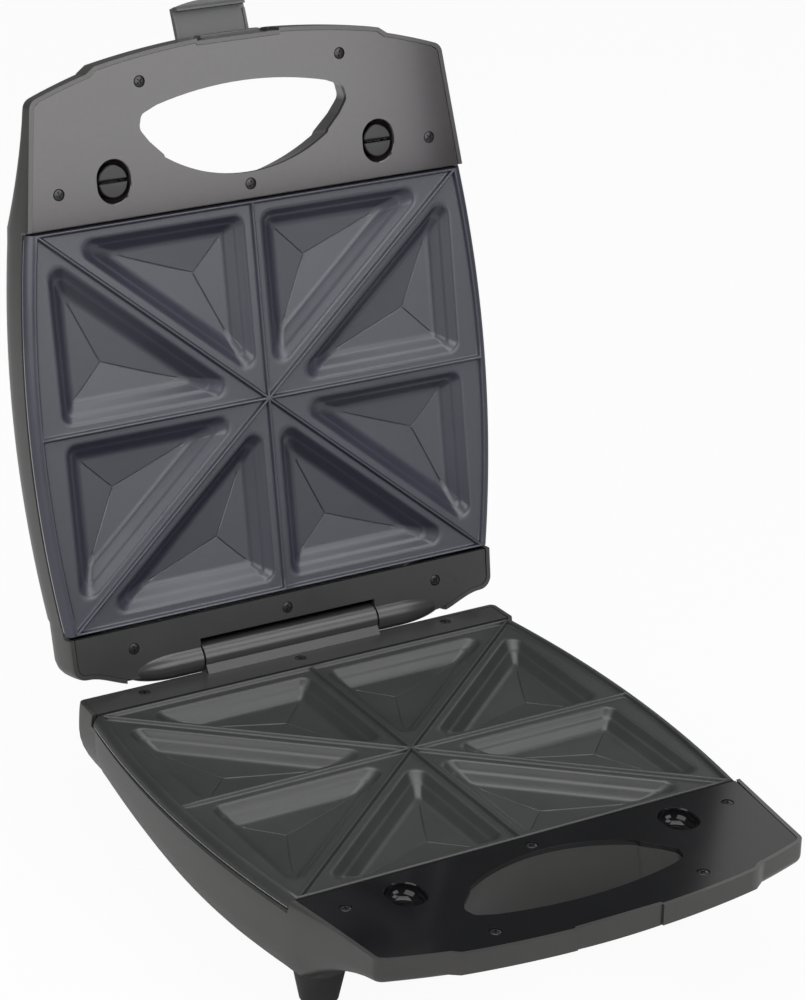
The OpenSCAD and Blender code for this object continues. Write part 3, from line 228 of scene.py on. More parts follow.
@dataclass
class Shell:
    """A mesh in the making: points in millimetres and faces as tuples of their numbers."""

    points: Array
    faces: list[Sequence[int]]

    @staticmethod
    def grid(sheet: Array, closed: bool = False) -> "Shell":
        """Joins a sheet of points into quads.

        Args:
            sheet: Rows by columns by 3.
            closed: Whether the last column joins the first.

        Returns:
            The sheet as a shell.
        """
        rows, cols = sheet.shape[:2]
        wide = cols if closed else cols - 1
        i, j = np.meshgrid(np.arange(rows - 1), np.arange(wide), indexing="ij")
        k = (j + 1) % cols
        quads = np.stack([i * cols + j, i * cols + k, (i + 1) * cols + k, (i + 1) * cols + j], axis=-1)
        return Shell(sheet.reshape(-1, 3), quads.reshape(-1, 4).tolist())

    @staticmethod
    def loft(rings: Array) -> "Shell":
        """Closed skin through rings, with a flat cap at each end.

        Args:
            rings: Rings by points by 3, each ring a closed loop.

        Returns:
            The closed shell.
        """
        shell = Shell.grid(rings, closed=True)
        n = rings.shape[1]
        last = (rings.shape[0] - 1) * n
        shell.faces += [list(range(n - 1, -1, -1)), [last + i for i in range(n)]]
        return shell

    @staticmethod
    def prism(outline: Array, z0: float, z1: float) -> "Shell":
        """Outline of x and y carried from height z0 to height z1.

        Args:
            outline: Closed loop, points by 2.
            z0: Height of one end.
            z1: Height of the other end.

        Returns:
            The closed shell.
        """
        low, high = min(z0, z1), max(z0, z1)
        flat = np.asarray(outline, float)
        rings = np.stack([np.column_stack([flat, np.full(len(flat), z)]) for z in (low, high)])
        return Shell.loft(rings)

    @staticmethod
    def slab(outline: Array, x0: float, x1: float) -> "Shell":
        """Outline of y and z carried along X from x0 to x1."""
        shell = Shell.prism(outline, x0, x1)
        return Shell(shell.points[:, [2, 0, 1]], shell.faces)

    @staticmethod
    def spun(profile: Array, steps: int = 48, axis: str = "z") -> "Shell":
        """Profile of radius and height turned about an axis: x = r cos t, y = r sin t.

        Args:
            profile: Points by 2, radius then height, from one end of the axis to the other.
            steps: Points round the turn.
            axis: "z" for an upright turn, "x" for one about X.

        Returns:
            The shell, closed by a cap at any end that is off the axis.
        """
        t = np.linspace(0, 2 * math.pi, steps, endpoint=False)
        r, h = np.asarray(profile, float).T
        rings = np.stack([r[:, None] * np.cos(t), r[:, None] * np.sin(t),
                          np.repeat(h[:, None], steps, axis=1)], axis=-1)
        shell = Shell.loft(rings)
        if axis == "x":
            shell.points = shell.points[:, [2, 0, 1]]
        return shell

    def moved(self, x: float = 0.0, y: float = 0.0, z: float = 0.0) -> "Shell":
        """The shell shifted by x, y and z."""
        return Shell(self.points + np.array([x, y, z]), self.faces)

    def turned(self, degrees: float) -> "Shell":
        """The shell turned about the upright axis.

        Args:
            degrees: Angle of the turn.

        Returns:
            The turned shell.
        """
        a = math.radians(degrees)
        m = np.array([[math.cos(a), math.sin(a), 0], [-math.sin(a), math.cos(a), 0], [0, 0, 1]])
        return Shell(self.points @ m, self.faces)

    def mirrored(self) -> "Shell":
        """The shell mirrored left to right."""
        return Shell(self.points * np.array([-1.0, 1.0, 1.0]), [f[::-1] for f in self.faces])

    def __add__(self, other: "Shell") -> "Shell":
        """Both shells in one, side by side in the list of points.

        Args:
            other: Shell that is added.

        Returns:
            The joined shell.
        """
        n = len(self.points)
        return Shell(np.vstack([self.points, other.points]),
                     list(self.faces) + [[i + n for i in f] for f in other.faces])

    def mesh(self, name: str, place: Optional[Placer] = None, weld: float = 0.0) -> bpy.types.Mesh:
        """Stores the shell as a mesh with its faces outwards.

        Args:
            name: Name of the mesh.
            place: Moves the points into the part's frame; None keeps millimetres.
            weld: Distance under which points are merged, in the mesh's own unit.

        Returns:
            The new mesh.
        """
        data = bpy.data.meshes.new(name)
        points = self.points if place is None else place(self.points)
        data.from_pydata(points.tolist(), [], self.faces)
        bm = bmesh.new()
        bm.from_mesh(data)
        if weld > 0:
            bmesh.ops.remove_doubles(bm, verts=bm.verts, dist=weld)
        bmesh.ops.dissolve_degenerate(bm, edges=bm.edges, dist=1e-7)
        bmesh.ops.recalc_face_normals(bm, faces=bm.faces)
        bm.to_mesh(data)
        bm.free()
        return data


def box_shell(x0: float, x1: float, y0: float, y1: float, z0: float, z1: float) -> Shell:
    """Rectangular cutter between two corners."""
    return Shell.prism(np.array([[x0, y0], [x1, y0], [x1, y1], [x0, y1]]), z0, z1)


def rod_shell(x0: float, x1: float, y: float, z: float, r: float, steps: int = 64) -> Shell:
    """Round bar along X."""
    return Shell.spun(np.array([[r, x0], [r, x1]]), steps, axis="x").moved(0, y, z)


def post_shell(x: float, y: float, r: float, z0: float, z1: float, steps: int = 40) -> Shell:
    """Round upright bar."""
    return Shell.spun(np.array([[r, min(z0, z1)], [r, max(z0, z1)]]), steps).moved(x, y)


class Carved:
    """A solid made by joining and cutting shells, kept as a temporary object in millimetres."""

    def __init__(self, shell: Shell) -> None:
        """Starts from one closed shell."""
        self.mesh = shell.mesh("blank", weld=1e-4)

    def _combine(self, shells: Iterable[Shell], operation: str) -> "Carved":
        """Runs one boolean for each shell.

        Args:
            shells: Closed shells.
            operation: "DIFFERENCE" or "UNION".

        Returns:
            This solid.
        """
        holder = bpy.data.objects.new("blank", self.mesh)
        bpy.context.scene.collection.objects.link(holder)
        tools = []
        for shell in shells:
            tool = bpy.data.objects.new("tool", shell.mesh("tool", weld=1e-4))
            bpy.context.scene.collection.objects.link(tool)
            tools.append(tool)
            step = holder.modifiers.new("step", "BOOLEAN")
            step.operation = operation
            step.solver = "MANIFOLD"
            step.object = tool
        graph = bpy.context.evaluated_depsgraph_get()
        result = bpy.data.meshes.new_from_object(holder.evaluated_get(graph))
        for item in tools + [holder]:
            old = item.data
            bpy.data.objects.remove(item)
            bpy.data.meshes.remove(old)
        self.mesh = result
        return self

    def cut(self, *shells: Shell) -> "Carved":
        """Takes closed shells away."""
        return self._combine(shells, "DIFFERENCE")

    def join(self, *shells: Shell) -> "Carved":
        """Adds closed shells."""
        return self._combine(shells, "UNION")

    def shell(self) -> Shell:
        """The result as a shell in millimetres."""
        return Shell(np.array([v.co[:] for v in self.mesh.vertices]),
                     [list(p.vertices) for p in self.mesh.polygons])

    def placed(self, name: str, place: Placer) -> bpy.types.Mesh:
        """The result moved into the part's frame.

        Args:
            name: Name of the mesh.
            place: Moves the points into the part's frame.

        Returns:
            The mesh, in metres.
        """
        count = len(self.mesh.vertices)
        flat = np.zeros(count * 3)
        self.mesh.vertices.foreach_get("co", flat)
        self.mesh.vertices.foreach_set("co", place(flat.reshape(-1, 3)).ravel())
        self.mesh.name = name
        bm = bmesh.new()
        bm.from_mesh(self.mesh)
        bmesh.ops.remove_doubles(bm, verts=bm.verts, dist=2e-6)
        bmesh.ops.dissolve_degenerate(bm, edges=bm.edges, dist=1e-6)
        bmesh.ops.recalc_face_normals(bm, faces=bm.faces)
        bm.to_mesh(self.mesh)
        bm.free()
        return self.mesh


# Outlines

def corner_arc(a: Array, c: Array, b: Array, r: float, steps: int) -> Array:
    """Corner c between a and b, rounded by a circle of radius r that touches both sides.

    Args:
        a: Point before the corner.
        c: The corner.
        b: Point after the corner.
        r: Radius.
        steps: Parts of the arc.

    Returns:
        The arc's points, steps + 1 by 2.
    """
    a, c, b = (np.asarray(p, float)[:2] for p in (a, c, b))
    u, v = (a - c) / np.linalg.norm(a - c), (b - c) / np.linalg.norm(b - c)
    half = math.acos(float(np.clip(u @ v, -1, 1))) / 2
    middle = c + (u + v) / np.linalg.norm(u + v) * r / math.sin(half)
    start = c + u * r / math.tan(half) - middle
    sweep = (math.pi - 2 * half) * np.sign(u[1] * v[0] - u[0] * v[1])
    t = np.linspace(0, sweep, steps + 1)
    return middle + np.column_stack([start[0] * np.cos(t) - start[1] * np.sin(t),
                                     start[0] * np.sin(t) + start[1] * np.cos(t)])


def rounded(corners: Sequence[Sequence[float]], steps: int = 6) -> Array:
    """Closed outline whose corners are x, y and radius.

    Args:
        corners: Corners in order round the outline.
        steps: Parts of each arc.

    Returns:
        The outline, points by 2.
    """
    n = len(corners)
    parts = []
    for i, corner in enumerate(corners):
        if corner[2] <= 0:
            parts.append(np.array([corner[:2]], float))
        else:
            parts.append(corner_arc(corners[i - 1], corner, corners[(i + 1) % n], corner[2], steps))
    return np.vstack(parts)


def both_sides(half: Sequence[Sequence[float]], shared: int = 0) -> list[tuple[float, ...]]:
    """Right half of an outline followed by its mirror image, for rounding.

    Args:
        half: Corners of the right half.
        shared: 1 where the first and last corners lie on the middle line.

    Returns:
        The corners of the whole outline.
    """
    right = [tuple(p) for p in half]
    left = [(-p[0],) + p[1:] for p in right[shared:len(right) - shared]]
    return right + left[::-1]


def plate_x(y: Union[float, Array]) -> Union[float, Array]:
    """Half width of a plate's face at y, a parabola that bows out at the middle."""
    return S.half_w + S.plate_bow * (1 - (y / S.half_d) ** 2)


def band_y(x: Union[float, Array], grow: float) -> Union[float, Array]:
    """Front edge of the middle band at x, an arc of radius band_r."""
    return S.band_r - S.nose_y - np.sqrt((S.band_r + grow) ** 2 - np.square(x))


def corner_y(x: Union[float, Array], grow: float) -> Union[float, Array]:
    """Front edge outside the band at x, an arc of radius nose_r."""
    return S.nose_r - S.nose_y - np.sqrt((S.nose_r + grow) ** 2 - np.square(x))


LATCH_GAP_X = S.latch_w / 2 + S.latch_side_gap


def fascia_outline(grow: float = 0.0) -> Array:
    """Outline of a fascia: the latch bay, the band, the corner arcs and the straight rear edge.

    Args:
        grow: Distance outside the fascia's own edge.

    Returns:
        The closed outline, points by 2.
    """
    gap = LATCH_GAP_X
    chamfer_x, chamfer_y, band_slope = 0.8, 1.2, 4.0
    tip_run, tip_r, rear_r = 3.5, 2.6, 0.6
    half = [(gap - grow, float(band_y(gap, grow)) + chamfer_y, 0.0)]
    half += [(x + (chamfer_x if i == 0 else 0), float(band_y(x, grow)), 0.0)
             for i, x in enumerate(np.linspace(gap, S.band_x, 12))]
    tip_x = S.nose_corner_x - S.rim_w + grow
    half += [(x, float(corner_y(x, grow)), 0.0)
             for x in np.linspace(S.band_x + band_slope + grow, tip_x - tip_run, 8)]
    half += [(tip_x, float(corner_y(tip_x, grow)) + chamfer_y, tip_r),
             (S.rim_x - S.rim_w + grow, -S.plate_end, rear_r)]
    return rounded(both_sides(half))


def grip_outline(grow: float = 0.0) -> Array:
    """Outline of the finger opening: a slim crescent with rounded ends and a step at its rear.

    Args:
        grow: Distance outside the opening's own edge.

    Returns:
        The closed outline, points by 2.
    """
    arc, back_arc, step_x = 197.0, 84.0, 46.4
    front = [(x, arc - S.grip_front - math.sqrt((arc + grow) ** 2 - x * x), 0.0)
             for x in np.linspace(0, S.grip_x - 10, 9)]
    rear = [(x, math.sqrt((back_arc + grow) ** 2 - x * x) - back_arc - S.grip_rear, 0.0)
            for x in np.linspace(step_x, 0, 12)]
    tip_y = -S.grip_rear - 31.6
    ends = [(S.grip_x - 1.2 + grow, tip_y - 5.2 - grow * 0.4, 4.0),
            (S.grip_x + 0.6 + grow, tip_y + 1.8, 5.0),
            (S.grip_x - 4.4 + grow * 0.8, tip_y + 8.8 + grow * 0.5, 4.0),
            (step_x + 0.6 + grow * 0.4, rear[0][1] - 1.6, 0.5)]
    return rounded(both_sides(front + ends + rear, shared=1))


def obround(w: float, l: float, steps: int = 20) -> Array:
    """Slot outline: two half circles of width w, l long in all along Y.

    Args:
        w: Width.
        l: Length.
        steps: Parts of each half circle.

    Returns:
        The closed outline, points by 2.
    """
    t = np.linspace(0, math.pi, steps + 1)
    top = np.column_stack([np.cos(t) * w / 2, (l - w) / 2 + np.sin(t) * w / 2])
    return np.vstack([top, -top])


@dataclass(frozen=True)
class RearEdge:
    """Rear edge of a half: it dips by dip at its corners and swells out by swell at the knuckles."""

    y: float
    corner_r: float
    dip: float = 0.0
    swell: float = 0.0
    steps: int = 14

    def wave(self, start: Array, y: float) -> Array:
        """Points from a corner's end to the knuckles: a smooth step f^2 (3 - 2 f) from -dip to swell.

        Args:
            start: Last point of the corner.
            y: Height that the step is measured from.

        Returns:
            The points, steps by 2.
        """
        f = np.linspace(0, 1, self.steps + 1)[1:]
        x = start[0] + (S.knuckle_x - 6.4 - start[0]) * f
        return np.column_stack([x, y - self.dip + (self.dip + self.swell) * f * f * (3 - 2 * f)])


EDGES = {Half.BASE: RearEdge(S.base_rear_y, 3.0),
         Half.LID: RearEdge(S.lid_rear_y, 7.0, S.lid_dip, S.lid_swell_out)}


def cover_outline(edge: RearEdge, grow: float = 0.0) -> Array:
    """Outline of a rear strip, between the plate and the casing's rear rim.

    Args:
        edge: Rear edge of the half.
        grow: Distance outside the strip's own edge.

    Returns:
        The closed outline, points by 2.
    """
    front = np.array([S.rim_x - S.rim_w - 0.6 + grow, S.plate_end - grow])
    y = edge.y - S.rim_w + grow
    turn = np.array([S.rim_x - S.rim_w - 1.2 + grow, y - edge.dip])
    arc = corner_arc(front, turn, np.array([0.0, turn[1]]), edge.corner_r - S.rim_w + grow, 8)
    half = np.vstack([corner_arc(np.array([0.0, front[1]]), front, turn, 0.6, 3), arc,
                      edge.wave(arc[-1], y)])
    return np.vstack([half, half[::-1] * np.array([-1.0, 1.0])])


# Shader expressions

class Field:
    """A number that varies over a surface. Arithmetic on it adds Math nodes to its material."""

    def __init__(self, tree: "NodeKit", socket: bpy.types.NodeSocket) -> None:
        """Wraps one output socket of a node tree."""
        self.tree = tree
        self.socket = socket

    def _math(self, operation: str, *values: Union["Field", Number]) -> "Field":
        """One Math node of an operation on values or fields."""
        return self.tree.add("ShaderNodeMath", {"operation": operation}, *values)

    def __add__(self, other: Union["Field", Number]) -> "Field":
        """self + other."""
        return self._math("ADD", self, other)

    __radd__ = __add__

    def __mul__(self, other: Union["Field", Number]) -> "Field":
        """self * other."""
        return self._math("MULTIPLY", self, other)

    __rmul__ = __mul__

    def __sub__(self, other: Union["Field", Number]) -> "Field":
        """self - other."""
        return self._math("SUBTRACT", self, other)

    def __rsub__(self, other: Union["Field", Number]) -> "Field":
        """other - self."""
        return self._math("SUBTRACT", other, self)

    def above(self, low: float, high: float) -> "Field":
        """Smooth step of the field: 0 below low, 1 above high."""
        return self.tree.add("ShaderNodeMapRange", {"interpolation_type": "SMOOTHSTEP"}, self, low, high)


class NodeKit:
    """Adds nodes to one material's tree."""

    def __init__(self, name: str) -> None:
        """Makes an empty material.

        Args:
            name: Name of the material.
        """
        self.material = bpy.data.materials.new(name)
        self.material.use_nodes = True
        self.nodes = self.material.node_tree.nodes
        self.links = self.material.node_tree.links
        self.nodes.clear()

    def add(self, kind: str, settings: Optional[dict] = None, *values: object, out: Union[int, str] = 0,
            **named: object) -> Field:
        """Makes a node.

        Args:
            kind: Type of the node.
            settings: Properties that are set before the sockets.
            *values: Values or fields for the first sockets, in their order.
            out: Output that the result wraps.
            **named: Values or fields for sockets by name, with _ for a space.

        Returns:
            The chosen output.
        """
        node = self.nodes.new(kind)
        for key, value in (settings or {}).items():
            setattr(node, key, value)
        sockets = [(node.inputs[i], v) for i, v in enumerate(values)]
        sockets += [(node.inputs[key.replace("_", " ")], v) for key, v in named.items()]
        for socket, value in sockets:
            if isinstance(value, Field):
                self.links.new(value.socket, socket)
            elif value is not None:
                socket.default_value = value
        outputs = [o for o in node.outputs if o.enabled]
        return Field(self, node.outputs[out] if isinstance(out, str) else outputs[out])

    def place(self) -> Field:
        """Object coordinates, in metres."""
        return self.add("ShaderNodeTexCoord", out="Object")

    def noise(self, size: float, detail: float = 2.0, roughness: float = 0.5) -> Field:
        """Noise whose features have a given size.

        Args:
            size: Size of a feature in millimetres.
            detail: Octaves.
            roughness: Weight of the finer octaves.

        Returns:
            The noise, about 0 to 1.
        """
        return self.add("ShaderNodeTexNoise", None, Vector=self.place(), Scale=PER_METRE / size,
                        Detail=detail, Roughness=roughness, out="Fac")

    def grains(self, size: float) -> Field:
        """Distance to the nearest of points scattered a given size apart, 0 at each point."""
        return self.add("ShaderNodeTexVoronoi", {"feature": "F1"}, Vector=self.place(),
                        Scale=PER_METRE / size, Randomness=1.0, out="Distance")

    def blend(self, mask: Field, low: Sequence[float], high: Sequence[float]) -> Field:
        """Colour that goes from low to high with a mask.

        Args:
            mask: Share of the second colour, 0 to 1.
            low: First colour.
            high: Second colour.

        Returns:
            The colour.
        """
        node = self.nodes.new("ShaderNodeMix")
        node.data_type = "RGBA"
        self.links.new(mask.socket, node.inputs["Factor"])
        node.inputs[6].default_value = (*low, 1.0)
        node.inputs[7].default_value = (*high, 1.0)
        return Field(self, node.outputs[2])

    def bump(self, height: Field, tall: float, below: Optional[Field] = None) -> Field:
        """Bump from a height field.

        Args:
            height: Height, 0 to 1.
            tall: Height of 1, in millimetres.
            below: Normal that it adds to.

        Returns:
            The normal.
        """
        extra = {} if below is None else {"Normal": below}
        return self.add("ShaderNodeBump", None, Height=height, Distance=tall / PER_METRE, Strength=1.0,
                        **extra)

    def finish(self, **sockets: object) -> bpy.types.Material:
        """Ends the tree with the surface shader.

        Args:
            **sockets: Values or fields for the shader's sockets.

        Returns:
            The material.
        """
        shader = self.add("ShaderNodeBsdfPrincipled", None, **sockets)
        node = self.nodes.new("ShaderNodeOutputMaterial")
        self.links.new(shader.socket, node.inputs["Surface"])
        return self.material


@dataclass(frozen=True)
class Finish:
    """A moulded or coated surface: colour that drifts, gloss that drifts, grain and haze."""

    name: str
    colour: tuple[float, float, float]
    light: tuple[float, float, float]
    rough: float
    rough_drift: float
    grain_size: float
    grain_height: float
    wave_size: float = 60.0
    wave_height: float = 0.0
    coat: float = 0.0
    metallic: float = 0.0
    pits: float = 0.0
    specular: float = 0.5
    drift_size: float = 38.0
    dust_size: float = 6.0
    drift_share: float = 0.55
    coat_rough: float = 0.06

    def build(self) -> bpy.types.Material:
        """Builds the material.

        Returns:
            The new material.
        """
        kit = NodeKit(self.name)
        drift = kit.noise(self.drift_size, 3.0, 0.55)
        grain = kit.noise(self.grain_size, 3.0, 0.6)
        dust = kit.noise(self.dust_size, 5.0, 0.7).above(0.52, 0.78)
        tone = drift * self.drift_share + grain * (1 - self.drift_share)
        colour = kit.blend(tone.above(0.25, 0.8), self.colour, self.light)
        rough = (drift - 0.5) * self.rough_drift * 2 + dust * self.rough_drift * 0.6 + self.rough
        normal = kit.bump(grain, self.grain_height)
        if self.pits > 0:
            speck = kit.grains(self.grain_size * 1.7).above(0.12, 0.5)
            normal = kit.bump(speck, self.pits, below=normal)
        if self.wave_height > 0:
            normal = kit.bump(kit.noise(self.wave_size, 1.0), self.wave_height, below=normal)
        return kit.finish(Base_Color=colour, Roughness=rough, Metallic=self.metallic,
                          Coat_Weight=self.coat, Coat_Roughness=self.coat_rough,
                          Specular_IOR_Level=self.specular, Normal=normal)


@dataclass(frozen=True)
class Lens:
    """Clear tinted plastic of a lamp."""

    name: str
    colour: tuple[float, float, float]
    rib_size: float = 2.5
    rib_height: float = 0.05
    drift_size: float = 10.0 / 9.0
    shade: float = 0.7

    def build(self) -> bpy.types.Material:
        """Builds the material.

        Returns:
            The new material.
        """
        kit = NodeKit(self.name)
        ribs = kit.add("ShaderNodeTexWave", {"wave_type": "RINGS", "rings_direction": "Z"},
                       Vector=kit.place(), Scale=PER_METRE / self.rib_size, out="Fac")
        drift = kit.noise(self.drift_size)
        colour = kit.blend(drift, tuple(c * self.shade for c in self.colour), self.colour)
        return kit.finish(Base_Color=colour, Roughness=drift * 0.08 + 0.06, Transmission_Weight=0.55,
                          IOR=1.49, Normal=kit.bump(ribs, self.rib_height))


class Palette:
    """All finishes of the toaster by their place."""

    def __init__(self) -> None:
        """Builds every material once."""
        self.casing = Finish("satin_casing", (0.026, 0.025, 0.024), (0.035, 0.034, 0.032), 0.30, 0.05,
                             0.55, 0.010, coat=0.25).build()
        # Both fascias are the same black plastic; the lid's copy is lighter and purplish, a painted sheen for
        # the reflection on the lid fascia, while the base's copy stays near black.
        self.lid_fascia = Finish("gloss_fascia_lid_painted_sheen", (0.019, 0.015, 0.017), (0.025, 0.020, 0.023), 0.12, 0.02,
                                 3.0, 0.0006, 25.0, 0.004, coat=0.32, specular=0.40).build()
        self.base_fascia = Finish("gloss_fascia_base", (0.004, 0.004, 0.0045), (0.006, 0.006, 0.0065), 0.09,
                                  0.02, 3.0, 0.0006, 25.0, 0.004, specular=0.24).build()
        self.trim = Finish("satin_trim", (0.024, 0.024, 0.025), (0.033, 0.033, 0.034), 0.29, 0.04,
                           0.5, 0.004, 30.0, 0.006).build()
        # Both plates have one coating; the lid's copy is bluer and lighter than the base's, painted light for
        # the different light falling on the upright lid plate.
        self.lid_plate = Finish("non_stick_lid_painted_light", (0.018, 0.019, 0.031), (0.027, 0.029, 0.044), 0.40, 0.05,
                                0.8, 0.022, pits=0.012, specular=0.85).build()
        self.base_plate = Finish("non_stick_base", (0.017, 0.018, 0.0175), (0.025, 0.0265, 0.025), 0.38, 0.05,
                                 0.8, 0.022, pits=0.012).build()
        self.steel = Finish("plain_steel", (0.50, 0.50, 0.52), (0.58, 0.58, 0.60), 0.30, 0.06,
                            0.3, 0.003, metallic=1.0).build()
        self.dark_steel = Finish("blackened_steel", (0.018, 0.018, 0.020), (0.036, 0.036, 0.039), 0.26, 0.06,
                                 0.3, 0.006, metallic=0.5).build()
        self.element = Finish("heated_tube", (0.16, 0.12, 0.09), (0.26, 0.20, 0.15), 0.42, 0.08,
                              0.4, 0.006, metallic=0.8).build()
        self.shield = Finish("bright_sheet", (0.66, 0.67, 0.69), (0.74, 0.75, 0.77), 0.26, 0.06,
                             0.6, 0.004, metallic=1.0).build()
        self.foot = Finish("dark_foot", (0.014, 0.014, 0.015), (0.022, 0.022, 0.023), 0.30, 0.05,
                           0.5, 0.006).build()
        self.latch = Finish("satin_latch", (0.056, 0.056, 0.058), (0.072, 0.072, 0.074), 0.34, 0.05,
                            0.5, 0.008).build()
        self.ivory = Finish("ivory_moulding", (0.62, 0.58, 0.49), (0.70, 0.66, 0.57), 0.5, 0.06,
                            0.6, 0.010).build()
        self.brown = Finish("brown_moulding", (0.20, 0.12, 0.06), (0.27, 0.17, 0.09), 0.5, 0.06,
                            0.6, 0.010).build()
        self.rubber = Finish("soft_bush", (0.016, 0.016, 0.016), (0.026, 0.026, 0.026), 0.6, 0.06,
                             0.6, 0.014).build()
        self.lead = Finish("lead_sleeve", (0.42, 0.37, 0.30), (0.50, 0.45, 0.37), 0.6, 0.06,
                           0.5, 0.020).build()
        self.red_lens = Lens("red_lens", (0.55, 0.03, 0.02)).build()
        self.green_lens = Lens("green_lens", (0.03, 0.36, 0.09)).build()


# Pieces

def store(mesh: bpy.types.Mesh, name: str, body: str, material: bpy.types.Material,
          nodes: Sequence[str] = (), sharp: float = 32.0, bevel: float = 0.0,
          segments: int = 2) -> bpy.types.Object:
    """Makes a finished piece of a mesh that is already in place.

    Args:
        mesh: Mesh in the part's frame.
        name: Name of the piece.
        body: Body that it moves with.
        material: Its material.
        nodes: Solids that it stands for.
        sharp: Angle in degrees above which an edge stays sharp.
        bevel: Width of the rounding of its sharp edges, in millimetres.
        segments: Steps of that rounding.

    Returns:
        The piece.
    """
    piece = bpy.data.objects.new(name, mesh)
    bpy.context.scene.collection.objects.link(piece)
    if bevel > 0:
        rounding = piece.modifiers.new("rounding", "BEVEL")
        rounding.width = bevel / PER_METRE
        rounding.segments = segments
        rounding.limit_method = "ANGLE"
        rounding.angle_limit = math.radians(sharp)
        rounding.miter_outer = "MITER_ARC"
        rounding.use_clamp_overlap = True
        graph = bpy.context.evaluated_depsgraph_get()
        mesh = bpy.data.meshes.new_from_object(piece.evaluated_get(graph))
        old = piece.data
        piece.modifiers.clear()
        piece.data = mesh
        bpy.data.meshes.remove(old)
        mesh.name = name
    mesh.shade_smooth()
    mesh.set_sharp_from_angle(angle=math.radians(sharp))
    weigh = piece.modifiers.new("weigh", "WEIGHTED_NORMAL")
    weigh.keep_sharp = True
    weigh.weight = 80
    mesh.materials.clear()
    mesh.materials.append(material)
    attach(piece, body)
    if nodes:
        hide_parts(*nodes)
    LOG.info("%s: %d faces", name, len(mesh.polygons))
    return piece


